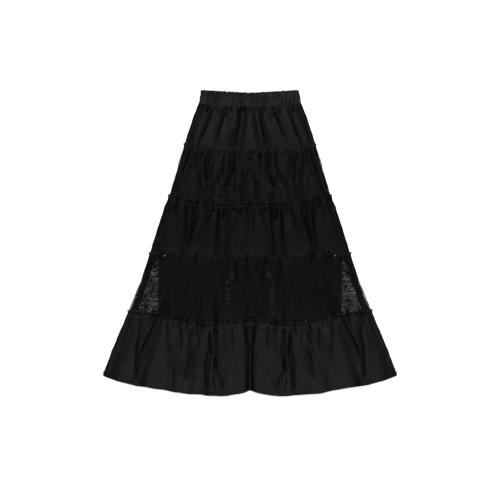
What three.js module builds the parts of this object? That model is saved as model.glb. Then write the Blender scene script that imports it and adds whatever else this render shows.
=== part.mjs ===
// A five-tier maxi skirt with two lace tiers, laid flat on its back.
// Millimetres. X runs across the skirt, Y up it towards the waist, Z up from the surface it lies on.
// The origin is on that surface, under the middle of the skirt's box.
//
// Every panel is a wall of cloth: a grid of points with an underside height, made CLOTH thick.
// Rows of the grid follow the seams, and columns follow the folds, so a fold is a line of points
// that stands higher or lower than its neighbours from the seam above to the seam below.
import * as THREE from "three";

// Driving dimensions
const LENGTH = 947.4; // highest point of the waistband to lowest point of the hem
const CLOTH = 1.2; // wall of a poplin or lace panel
const SLIP_CLOTH = 1.0; // wall of the lining
const GAP = 0.3; // between pieces that meet
const HEADING = 9; // cloth of the lower tier that stands up past its gathering stitches
const ALLOWANCE = 6; // cloth of the upper tier that ends behind the lower tier
const RUFFLE = 2.4; // how far the free edge of a heading stands off, every second column
const LAP_SLACK = 2; // a lapped row runs this far past the edge under or over it
const EASE = 12; // length in which a panel comes down from a lap to the layer below
const SLIP_INSET = 26; // side of the lining to side of the skirt, while the skirt is the narrower
const SLIP_HALF = 284; // half width of the lining where it hangs straight
const SLIP_SEAM = 4; // the seam at which the lining ends
const SLIP_BELOW = 12; // lining that carries on below that seam
const SLIP_CLEAR = 10; // past the lining's side and foot, the front may come down
const BAND_WALL = 3.0; // casing, elastic and casing
const BAND_HOLLOW = 2.8; // between the two sides of the flattened band
const BAND_PUCKER = 0.7; // height of the shirring on the band
const BAND_COLUMNS = 32; // puckers across one side of the band

// Heights of the layers where they lie on each other
const LAP = CLOTH + GAP;
const BACK_TOP = LAP + CLOTH;
const SLIP_BACK = BACK_TOP + GAP;
const SLIP_FRONT = SLIP_BACK + SLIP_CLOTH + GAP;
const FRONT = SLIP_FRONT + SLIP_CLOTH + GAP;

// Half width of the skirt at a distance down its side
const OUTLINE = [
  { down: 0, half: 152 },
  { down: 40, half: 158 },
  { down: 66, half: 171 },
  { down: 104, half: 183.5 },
  { down: 153, half: 199 },
  { down: 178, half: 206.5 },
  { down: 228, half: 221.5 },
  { down: 327, half: 251 },
  { down: 352, half: 262 },
  { down: 426, half: 286.5 },
  { down: 500, half: 309.5 },
  { down: 575, half: 334 },
  { down: 600, half: 344.5 },
  { down: 687, half: 378.5 },
  { down: 786, half: 420.5 },
  { down: 872, half: 454 },
  { down: 884, half: 456.5 },
];

// Lines across the skirt, from the middle (share 0) to the side (share 1): distance down
const WAIST_EDGE = [
  { share: 0, down: 8.5 },
  { share: 0.43, down: 5 },
  { share: 0.75, down: 2 },
  { share: 1, down: 0 },
];
const SEAMS = [
  [
    { share: 0, down: 51 },
    { share: 0.54, down: 49.2 },
    { share: 1, down: 42 },
  ],
  [
    { share: 0, down: 197 },
    { share: 0.28, down: 194.5 },
    { share: 0.74, down: 193 },
    { share: 0.93, down: 183 },
    { share: 1, down: 173 },
  ],
  [
    { share: 0, down: 356 },
    { share: 0.42, down: 356 },
    { share: 0.73, down: 346 },
    { share: 1, down: 331 },
  ],
  [
    { share: 0, down: 522 },
    { share: 0.24, down: 526 },
    { share: 0.43, down: 525 },
    { share: 0.6, down: 511.5 },
    { share: 1, down: 512 },
  ],
  [
    { share: 0, down: 714 },
    { share: 0.15, down: 721 },
    { share: 0.28, down: 727.5 },
    { share: 0.43, down: 727.5 },
    { share: 0.61, down: 708 },
    { share: 1, down: 688 },
  ],
  [
    { share: 0, down: 930 },
    { share: 0.05, down: 936.5 },
    { share: 0.12, down: 944 },
    { share: 0.2, down: LENGTH },
    { share: 0.48, down: 938 },
    { share: 0.64, down: 921 },
    { share: 0.75, down: 917 },
    { share: 0.91, down: 899 },
    { share: 1, down: 884 },
  ],
];

// Folds of each tier's front, from the middle to the side, each mirrored on the other half:
// where the fold line starts at the seam above and ends at the seam below, as shares of the half
// width, and how far it stands off the layer under it
const FRONT_FOLDS = [
  [
    { top: 0, foot: 0, rise: 2.5 },
    { top: 0.05, foot: 0.13, rise: 0.4 },
    { top: 0.13, foot: 0.2, rise: 5 },
    { top: 0.31, foot: 0.31, rise: 0 },
    { top: 0.42, foot: 0.42, rise: 4.5 },
    { top: 0.56, foot: 0.6, rise: 0.6 },
    { top: 0.65, foot: 0.68, rise: 4 },
    { top: 0.75, foot: 0.79, rise: 0.6 },
  ],
  [
    { top: 0, foot: 0, rise: 3.5 },
    { top: 0.05, foot: 0.08, rise: 0.6 },
    { top: 0.15, foot: 0.15, rise: 4.5 },
    { top: 0.27, foot: 0.26, rise: 0 },
    { top: 0.35, foot: 0.36, rise: 4 },
    { top: 0.42, foot: 0.47, rise: 0.6 },
    { top: 0.5, foot: 0.54, rise: 4.5 },
    { top: 0.62, foot: 0.61, rise: 0 },
    { top: 0.7, foot: 0.7, rise: 3.5 },
    { top: 0.78, foot: 0.8, rise: 0.8 },
  ],
  [
    { top: 0, foot: 0, rise: 3.5 },
    { top: 0.03, foot: 0.03, rise: 0.6 },
    { top: 0.09, foot: 0.11, rise: 4 },
    { top: 0.13, foot: 0.17, rise: 1 },
    { top: 0.21, foot: 0.21, rise: 5 },
    { top: 0.27, foot: 0.25, rise: 0.3 },
    { top: 0.31, foot: 0.29, rise: 3 },
    { top: 0.36, foot: 0.35, rise: 0 },
    { top: 0.41, foot: 0.41, rise: 4.5 },
    { top: 0.49, foot: 0.54, rise: 1.6 },
    { top: 0.56, foot: 0.61, rise: 5.5 },
    { top: 0.63, foot: 0.65, rise: 0 },
    { top: 0.69, foot: 0.68, rise: 4 },
    { top: 0.75, foot: 0.73, rise: 0.2 },
    { top: 0.81, foot: 0.79, rise: 3.5 },
    { top: 0.85, foot: 0.84, rise: 1.4 },
  ],
  [
    { top: 0, foot: 0, rise: 3 },
    { top: 0.13, foot: 0.08, rise: 0.8 },
    { top: 0.2, foot: 0.19, rise: 3.5 },
    { top: 0.3, foot: 0.26, rise: 0.4 },
    { top: 0.4, foot: 0.37, rise: 3.5 },
    { top: 0.48, foot: 0.46, rise: 1.2 },
    { top: 0.52, foot: 0.5, rise: 3 },
    { top: 0.56, foot: 0.56, rise: 0.8 },
    { top: 0.64, foot: 0.63, rise: 3.5 },
    { top: 0.7, foot: 0.7, rise: 0.3 },
  ],
  [
    { top: 0, foot: 0, rise: 0 },
    { top: 0.05, foot: 0.04, rise: 6 },
    { top: 0.19, foot: 0.15, rise: 3.5 },
    { top: 0.265, foot: 0.21, rise: 0 },
    { top: 0.29, foot: 0.26, rise: 4.5 },
    { top: 0.315, foot: 0.305, rise: 0.4 },
    { top: 0.38, foot: 0.37, rise: 4 },
    { top: 0.43, foot: 0.435, rise: 0.8 },
    { top: 0.5, foot: 0.5, rise: 4 },
    { top: 0.6, foot: 0.57, rise: 1.6 },
    { top: 0.7, foot: 0.71, rise: 6.5 },
    { top: 0.735, foot: 0.765, rise: 0 },
  ],
];

// The back lies flat on the surface between a few low folds that reach up inside
const BACK_FOLDS = [
  { top: 0, foot: 0, rise: 0 },
  { top: 0.13, foot: 0.11, rise: 0 },
  { top: 0.2, foot: 0.19, rise: 1.5 },
  { top: 0.28, foot: 0.26, rise: 0 },
  { top: 0.52, foot: 0.53, rise: 0 },
  { top: 0.6, foot: 0.62, rise: 1.4 },
  { top: 0.68, foot: 0.7, rise: 0 },
];

// The last columns before the side, where the front comes down past the lining onto the back:
// distances `beyond` the lining's side, and then the side itself. The lowest tier has folds there.
const SIDE_COLUMNS = [{ beyond: 5 }, { beyond: 17 }, { top: 1 }];
const LOWEST_SIDE_COLUMNS = [
  { beyond: 5, foot: 0.8, rise: 3 },
  { beyond: 17, foot: 0.84, rise: 0.6 },
  { top: 0.9, foot: 0.9, rise: 3.5 },
  { top: 1 },
];

const poplin = new THREE.MeshStandardMaterial({ name: "poplin", color: 0x1b1b1c, roughness: 0.72 });
const lace = new THREE.MeshStandardMaterial({ name: "lace", color: 0x161617, roughness: 0.85 });
const slip = new THREE.MeshStandardMaterial({ name: "slip", color: 0x131314, roughness: 0.6 });

const mix = (a, b, t) => a + (b - a) * t;

// Straight-line reading of a table: the value of one column where another column equals `at`
function read(table, key, value, at) {
  const after = table.findIndex((row) => row[key] >= at);
  if (after === 0) return table[0][value];
  if (after < 0) return table[table.length - 1][value];
  const [a, b] = [table[after - 1], table[after]];
  return mix(a[value], b[value], (at - a[key]) / (b[key] - a[key]));
}

const halfAt = (down) => read(OUTLINE, "down", "half", down);
const slipHalfAt = (down) => Math.min(halfAt(down) - SLIP_INSET, SLIP_HALF);
const seamAt = (seam, share) => read(SEAMS[seam], "share", "down", Math.abs(share));
const yAt = (down) => LENGTH / 2 - down;

// A closed wall through a grid of { x, y, low } points, `thick` high. Rows run down the skirt and
// columns run from -X to +X.
function wall(grid, thick) {
  const rows = grid.length;
  const columns = grid[0].length;
  const positions = [];
  for (const lift of [0, thick]) {
    for (const row of grid) {
      for (const point of row) positions.push(point.x, point.y, point.low + lift);
    }
  }
  const under = (r, c) => r * columns + c;
  const over = (r, c) => rows * columns + under(r, c);
  const index = [];
  const quad = quadsInto(index);
  for (let r = 0; r < rows - 1; r++) {
    for (let c = 0; c < columns - 1; c++) {
      quad(over(r, c), over(r + 1, c), over(r + 1, c + 1), over(r, c + 1));
      index.push(under(r, c), under(r + 1, c + 1), under(r + 1, c));
      index.push(under(r, c), under(r, c + 1), under(r + 1, c + 1));
    }
    quad(under(r, 0), under(r + 1, 0), over(r + 1, 0), over(r, 0));
    const c = columns - 1;
    quad(under(r + 1, c), under(r, c), over(r, c), over(r + 1, c));
  }
  for (let c = 0; c < columns - 1; c++) {
    quad(under(0, c + 1), under(0, c), over(0, c), over(0, c + 1));
    quad(under(rows - 1, c), under(rows - 1, c + 1), over(rows - 1, c + 1), over(rows - 1, c));
  }
  return closed(positions, index);
}

// Adds faces of four corners to an index, as two triangles each
const quadsInto = (index) => (a, b, c, d) => index.push(a, b, c, a, c, d);

function closed(positions, index) {
  const geometry = new THREE.BufferGeometry();
  geometry.setAttribute("position", new THREE.Float32BufferAttribute(positions, 3));
  geometry.setIndex(index);
  geometry.computeVertexNormals();
  return geometry;
}

// Rows of a tier, from its top edge down. Each lies `up` mm above seam `seam`, or between the
// last and the next by `share`. `lap` is 1 where the row lies over the tier above, `raised` is 1
// where it lies behind the tier below, and `wave` is how much of the folds it shows.
function rowsOf(tier) {
  const rows = [];
  const first = tier === 0;
  const last = tier === SEAMS.length - 2;
  if (first) {
    rows.push({ seam: tier, up: -GAP, lap: 0, raised: 0, wave: 0.25 });
  } else {
    rows.push({ seam: tier, up: HEADING, lap: 1, raised: 0, wave: 0, ruffle: RUFFLE });
    rows.push({ seam: tier, up: 0, lap: 1, raised: 0, wave: 0 });
    rows.push({ seam: tier, up: -ALLOWANCE - LAP_SLACK, lap: 1, raised: 0, wave: 0 });
  }
  rows.push({ seam: tier, up: -ALLOWANCE - LAP_SLACK - EASE, lap: 0, raised: 0, wave: 0.8 });
  for (const share of last ? [0.2, 0.45, 0.72] : [0.33, 0.66]) {
    rows.push({ seam: tier, share, lap: 0, raised: 0, wave: 1 });
  }
  if (last) {
    rows.push({ seam: tier + 1, up: 0, lap: 0, raised: 0, wave: 1 });
  } else {
    rows.push({ seam: tier + 1, up: HEADING + LAP_SLACK + EASE, lap: 0, raised: 0, wave: 0.7 });
    rows.push({ seam: tier + 1, up: HEADING + LAP_SLACK, lap: 0, raised: 1, wave: 0 });
    rows.push({ seam: tier + 1, up: -ALLOWANCE, lap: 0, raised: 1, wave: 0 });
  }
  return rows;
}

// Distance down the skirt of a row of a tier, at a share of the half width
function downOf(tier, row, share) {
  if (row.up !== undefined) return seamAt(row.seam, share) - row.up;
  return mix(seamAt(tier, share), seamAt(tier + 1, share), row.share);
}

// Both halves of a tier's fold table, with the side columns, from -X to +X
function columnsOf(tier, folds) {
  const sides = tier === SEAMS.length - 2 ? LOWEST_SIDE_COLUMNS : SIDE_COLUMNS;
  const right = [...folds, ...sides].map((fold) => ({ ...fold, side: 1 }));
  const left = right.slice(1).map((fold) => ({ ...fold, side: -1 }));
  return [...left.reverse(), ...right];
}

// Distance of a column from the middle of the skirt, `t` of the way down its tier
function columnX(column, side, t) {
  const half = halfAt(side);
  const start = column.beyond ? slipHalfAt(side) + column.beyond : column.top * half;
  const end = column.foot === undefined ? start : column.foot * half;
  return column.side * mix(start, end, t);
}

// A panel of a tier: `lowOf` gives the height of its underside
function panel(tier, folds, lowOf) {
  const columns = columnsOf(tier, folds);
  const topSide = seamAt(tier, 1);
  const footSide = seamAt(tier + 1, 1);
  const grid = rowsOf(tier).map((row) => {
    const side = downOf(tier, row, 1);
    const t = THREE.MathUtils.clamp((side - topSide) / (footSide - topSide), 0, 1);
    return columns.map((column, c) => {
      const x = columnX(column, side, t);
      const down = downOf(tier, row, x / halfAt(side));
      const folded = column.rise !== undefined;
      const wave = folded ? column.rise * row.wave : 0;
      const ruffle = folded && c % 2 ? row.ruffle ?? 0 : 0;
      return { x, y: yAt(down), low: lowOf({ row, folded, wave, ruffle, side, away: Math.abs(x) }) };
    });
  });
  return wall(grid, CLOTH);
}

// The front lies over the lining where there is one, then over the back's folds, and comes down
// to the back's edge at the side
function frontLow({ row, folded, wave, ruffle, side, away }) {
  const slipFoot = seamAt(SLIP_SEAM, 1) + SLIP_BELOW;
  const lined = side < slipFoot + SLIP_CLEAR && away < slipHalfAt(side) + SLIP_CLEAR;
  if (lined) return FRONT + row.lap * LAP + wave + ruffle;
  const stacked = LAP * (1 + row.raised + 2 * row.lap);
  return Math.max(stacked, folded ? BACK_TOP + GAP : 0) + wave + ruffle;
}

// The back lies on the surface. Its folds are low, and it rises behind the next tier's heading.
function backLow({ row, wave }) {
  return Math.max(row.raised * LAP, Math.min(wave, LAP));
}

// The lining is two plain panels, from the waistband to just below its last seam
function lining(low) {
  const shares = [0, 0.15, 0.28, 0.43, 0.61, 0.8, 1];
  const mirrored = shares.slice(1).reverse().map((share) => -share);
  const topSide = seamAt(0, 1) + 2 * GAP;
  const footSide = seamAt(SLIP_SEAM, 1) + SLIP_BELOW;
  const grid = [0, 0.2, 0.4, 0.6, 0.7, 1].map((t) => {
    const side = mix(topSide, footSide, t);
    return [...mirrored, ...shares].map((share) => {
      const x = share * slipHalfAt(side);
      const top = seamAt(0, x / halfAt(side)) + 2 * GAP;
      const foot = seamAt(SLIP_SEAM, x / halfAt(side)) + SLIP_BELOW;
      return { x, y: yAt(mix(top, foot, t)), low };
    });
  });
  return wall(grid, SLIP_CLOTH);
}

// One turn round the flattened waistband: across the front, round one end, across the back and
// round the other end. `angle` is the way out of the band, and every second front row is a pucker.
function bandLoop() {
  const loop = [];
  const turn = (share, degrees) => loop.push({ share, angle: THREE.MathUtils.degToRad(degrees), puff: 0 });
  const across = Array.from({ length: BAND_COLUMNS + 1 }, (_, c) => 1 - (2 * c) / BAND_COLUMNS);
  across.forEach((share, c) => loop.push({ share, angle: Math.PI / 2, puff: c % 2 }));
  for (const degrees of [135, 180, 225]) turn(-1, degrees);
  across.forEach((share) => turn(-share, 270));
  for (const degrees of [315, 360, 405]) turn(1, degrees);
  return loop;
}

// The waistband is that loop swept from the waist edge to the first seam, inside and out
function waistband() {
  const mid = BAND_WALL + BAND_HOLLOW / 2;
  const edgeAt = (share) => read(WAIST_EDGE, "share", "down", Math.abs(share));
  const edges = [
    { downAt: edgeAt, pucker: 0 },
    { downAt: (share) => mix(edgeAt(share), seamAt(0, share), 0.5), pucker: BAND_PUCKER },
    { downAt: (share) => seamAt(0, share), pucker: 0 },
  ];
  const loop = bandLoop();
  const positions = [];
  for (const off of [mid, BAND_HOLLOW / 2]) {
    for (const edge of edges) {
      const half = halfAt(edge.downAt(1));
      for (const { share, angle, puff } of loop) {
        const out = off + (off === mid ? puff * edge.pucker : 0);
        const x = share * (half - mid) + out * Math.cos(angle);
        positions.push(x, yAt(edge.downAt(x / half)), mid + out * Math.sin(angle));
      }
    }
  }
  const at = (layer, e, i) => (layer * edges.length + e) * loop.length + (i % loop.length);
  const index = [];
  const quad = quadsInto(index);
  const lowest = edges.length - 1;
  for (let i = 0; i < loop.length; i++) {
    for (let e = 0; e < lowest; e++) {
      quad(at(0, e, i), at(0, e, i + 1), at(0, e + 1, i + 1), at(0, e + 1, i));
      quad(at(1, e, i), at(1, e + 1, i), at(1, e + 1, i + 1), at(1, e, i + 1));
    }
    quad(at(0, 0, i), at(1, 0, i), at(1, 0, i + 1), at(0, 0, i + 1));
    quad(at(0, lowest, i), at(0, lowest, i + 1), at(1, lowest, i + 1), at(1, lowest, i));
  }
  return closed(positions, index);
}

const skirt = new THREE.Group();

function place(name, geometry, material) {
  const mesh = new THREE.Mesh(geometry, material);
  mesh.name = name;
  skirt.add(mesh);
}

place("waistband", waistband(), poplin);
const tierCloth = [poplin, lace, poplin, lace, poplin];
tierCloth.forEach((cloth, tier) => {
  place(`tier_${tier + 1}_front`, panel(tier, FRONT_FOLDS[tier], frontLow), cloth);
  place(`tier_${tier + 1}_back`, panel(tier, BACK_FOLDS, backLow), cloth);
});
place("lining_front", lining(SLIP_FRONT), slip);
place("lining_back", lining(SLIP_BACK), slip);

export default skirt;
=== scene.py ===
# %% [markdown]
# # A tiered skirt of poplin and lace, laid flat on its back
# The skirt has an elastic waistband and five gathered tiers. The first, third and fifth are
# poplin, the second and fourth are lace over a plain lining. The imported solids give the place
# and the size of every panel. The looks are made here: each panel becomes one fine sheet that
# lies on its solid, with the folds, gathers and frills that are too small for a solid.
#
# All shapes are worked out in millimetres and turned into metres when a mesh is made. X runs
# across the skirt, Y up it to the waist, Z up from the surface that it lies on.
# %% Load the frame and keep its box
import math

import bmesh
import bpy
import numpy as np
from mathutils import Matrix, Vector
from mathutils.bvhtree import BVHTree


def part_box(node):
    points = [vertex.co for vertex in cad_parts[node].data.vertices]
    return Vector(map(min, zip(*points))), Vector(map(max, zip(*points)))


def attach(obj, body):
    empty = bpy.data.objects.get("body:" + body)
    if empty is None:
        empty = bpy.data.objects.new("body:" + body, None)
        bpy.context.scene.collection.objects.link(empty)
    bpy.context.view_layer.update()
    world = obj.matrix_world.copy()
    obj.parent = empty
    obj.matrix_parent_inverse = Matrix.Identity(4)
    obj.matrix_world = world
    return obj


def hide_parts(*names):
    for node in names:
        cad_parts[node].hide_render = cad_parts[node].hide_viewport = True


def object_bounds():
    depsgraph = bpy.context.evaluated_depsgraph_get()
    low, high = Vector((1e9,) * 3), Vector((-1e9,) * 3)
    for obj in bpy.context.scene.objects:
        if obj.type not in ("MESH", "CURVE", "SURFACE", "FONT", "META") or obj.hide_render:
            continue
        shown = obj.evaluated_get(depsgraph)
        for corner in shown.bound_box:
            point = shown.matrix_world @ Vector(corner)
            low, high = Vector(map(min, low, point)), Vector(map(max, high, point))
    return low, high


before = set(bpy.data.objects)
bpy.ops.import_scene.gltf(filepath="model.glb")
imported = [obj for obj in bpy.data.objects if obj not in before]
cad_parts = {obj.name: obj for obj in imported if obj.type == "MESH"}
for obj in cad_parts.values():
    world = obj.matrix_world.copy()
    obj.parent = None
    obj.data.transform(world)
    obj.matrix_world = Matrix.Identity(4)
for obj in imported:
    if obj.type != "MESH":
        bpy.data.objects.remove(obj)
cad_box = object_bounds()
MM = 0.001  # metres in a millimetre
WAIST_Y = cad_box[1].y / MM
HEM_Y = cad_box[0].y / MM
print("box of the solids, mm:", [round(size / MM, 1) for size in cad_box[1] - cad_box[0]])

# %% [markdown]
# ## What the solids say
# The panels must keep the outline of the solids, so nothing is typed in twice. A solid seen
# from above is a flat shape, and its edge at any place is the farthest point of all its edges
# there. The half width of the skirt, the top of each panel and its foot are read so.
# %% Read outlines from the solids
X, Y, Z = 0, 1, 2
TIERS = (1, 2, 3, 4, 5)
LACE_TIERS = (2, 4)
LOWEST = 5
SIDES = ((1, "front"), (-1, "back"))
AT_SIDE = 400.0  # a line across the skirt is read here for its height at the side seam


def read_field(items, field, size, kind=float):
    """A field of all vertices, edges or faces of a mesh, one row for each."""
    values = np.empty(len(items) * size, dtype=kind)
    items.foreach_get(field, values)
    return values.reshape(-1, size)


def edges_of(node):
    """Both ends of every edge of a solid, in millimetres."""
    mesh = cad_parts[node].data
    return read_field(mesh.vertices, "co", 3)[read_field(mesh.edges, "vertices", 2, int)] / MM


def farthest(nodes, along, positions, across, pick):
    """The farthest coordinate of some solids across an axis, at each position along another."""
    edges = np.concatenate([edges_of(node) for node in nodes])
    start, step = edges[:, 0], edges[:, 1] - edges[:, 0]
    lies_along = np.abs(step[:, along]) > 1e-6
    start, step = start[lies_along], step[lies_along]
    found = []
    for position in positions:
        share = (position - start[:, along]) / step[:, along]
        hit = (share >= 0) & (share <= 1)
        found.append(pick(start[hit, across] + share[hit] * step[hit, across]))
    return np.array(found)


FRONTS = ["waistband"] + [f"tier_{tier}_front" for tier in TIERS]
HALF_Y = np.arange(WAIST_Y - 1, HEM_Y + 30, -3.0)
HALF = np.maximum.accumulate(farthest(FRONTS, Y, HALF_Y, X, np.max))


def half_at(y):
    """Half width of the skirt at y. It never shrinks on the way down, not even past the hem's corner."""
    return np.interp(-np.asarray(y), -HALF_Y, HALF)


def line_of(node, pick):
    """The top (np.max) or foot (np.min) of a panel as a function of the distance across."""
    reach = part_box(node)[1].x / MM
    across = np.arange(0.5, reach, 3.0)
    y = farthest([node], X, across, Y, pick)
    if pick is np.max:
        corner = int(np.argmax(y[len(y) // 2:])) + len(y) // 2
        y[corner:] = y[corner]
    return lambda x: np.interp(np.abs(x), across, y)


TOP = {tier: line_of(f"tier_{tier}_front", np.max) for tier in TIERS}
FOOT = {tier: line_of(f"tier_{tier}_front", np.min) for tier in TIERS}
BAND_TOP = line_of("waistband", np.max)
BAND_FOOT = line_of("waistband", np.min)
HEADING = 9.0  # cloth that stands up past the gathering stitches as a small frill


def stitch_line(tier):
    """The line of gathering stitches at the top of a tier. The first tier's is the band's seam."""
    if tier == 1:
        return TOP[1]
    return lambda x: TOP[tier](x) - HEADING


print("half width at waist, knee and hem:", [round(float(half_at(y)), 1) for y in (WAIST_Y, 0, HEM_Y)])

# %% [markdown]
# ## Heights of the solids
# The solids also carry the big folds and the order of the layers: back, lining, front. Rays
# dropped on a solid at every few millimetres give its height, and a soft blur turns its flat
# facets into the round forms of cloth.
# %% Read the height of a solid and soften it
PITCH = 4.0  # between rays
BLUR = 7.0  # radius of the blur


def soften(heights):
    """A Gaussian blur along rows and columns."""
    reach = int(2.5 * BLUR / PITCH)
    weights = np.exp(-0.5 * (np.arange(-reach, reach + 1) * PITCH / BLUR) ** 2)
    for axis in (0, 1):
        heights = np.apply_along_axis(np.convolve, axis, heights, weights, "same")
    return heights


def relief_of(node, side=1):
    """Heights of a solid seen from above (side 1) or from below (side -1), as a function of x and y."""
    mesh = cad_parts[node].data
    tree = BVHTree.FromPolygons([v.co for v in mesh.vertices], [p.vertices for p in mesh.polygons])
    low, high = (np.array(corner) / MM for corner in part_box(node))
    margin = 2 * BLUR
    xs = np.arange(low[X] - margin, high[X] + margin, PITCH)
    ys = np.arange(low[Y] - margin, high[Y] + margin, PITCH)
    heights = np.zeros((len(ys), len(xs)))
    known = np.zeros_like(heights)
    beam = Vector((0, 0, -side))
    for row, y in enumerate(ys):
        for column, x in enumerate(xs):
            hit = tree.ray_cast(Vector((x * MM, y * MM, side)), beam)[0]
            if hit:
                heights[row, column] = hit.z / MM
                known[row, column] = 1
    smooth = soften(heights) / np.maximum(soften(known), 1e-6)

    def height(x, y):
        """The softened height between the four nearest rays."""
        column = np.clip((x - xs[0]) / PITCH, 0, len(xs) - 1.001)
        row = np.clip((y - ys[0]) / PITCH, 0, len(ys) - 1.001)
        left, lower = column.astype(int), row.astype(int)
        right, upper = column - left, row - lower
        near = smooth[lower, left] * (1 - right) + smooth[lower, left + 1] * right
        far = smooth[lower + 1, left] * (1 - right) + smooth[lower + 1, left + 1] * right
        return near * (1 - upper) + far * upper

    return height


RELIEF = {tier: relief_of(f"tier_{tier}_front") for tier in TIERS}
LINING_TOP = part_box("lining_front")[1].z / MM
BACK_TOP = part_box("tier_5_back")[1].z / MM
LINING_Y = np.arange(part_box("lining_front")[1].y / MM - 1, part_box("lining_front")[0].y / MM + 8, -4.0)
LINING_HALF = farthest(["lining_front"], Y, LINING_Y, X, np.max)
LINING_FOOT = line_of("lining_front", np.min)
print("top of the back and of the lining, mm:", round(BACK_TOP, 2), round(LINING_TOP, 2))

# %% [markdown]
# ## Small tools for soft shapes
# Cloth has no hard steps, so every height is faded in and out by a smooth step. Random draws
# come from a numbered generator, so that each run gives the same skirt.
# %% Smooth steps, soft limits and ripples
def smooth_step(value):
    """0 below 0, 1 above 1, and a smooth rise between."""
    share = np.clip(value, 0, 1)
    return share * share * (3 - 2 * share)


def soft_max(a, b, softness=0.8):
    """The larger of two heights, with a round corner where they cross."""
    return (a + b + np.sqrt((a - b) ** 2 + softness ** 2)) / 2


def ripple(x, y, seed, size, upright=1.0, count=10):
    """A smooth random field of about -1 to 1. Waves are near `size` long, `upright` times that along Y."""
    draw = np.random.default_rng(seed)
    total = np.zeros(np.broadcast(x, y).shape)
    for _ in range(count):
        angle = draw.uniform(0, math.tau)
        turns = math.tau / (size * draw.uniform(0.7, 1.5))
        phase = draw.uniform(0, math.tau)
        total += np.sin(turns * (math.cos(angle) * x + math.sin(angle) * y / upright) + phase)
    return total / math.sqrt(count)


def wander(x, seed, size):
    """A smooth random curve of about -1 to 1. Its waves are near `size` long."""
    return ripple(x, 0 * x, seed, size)


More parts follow.
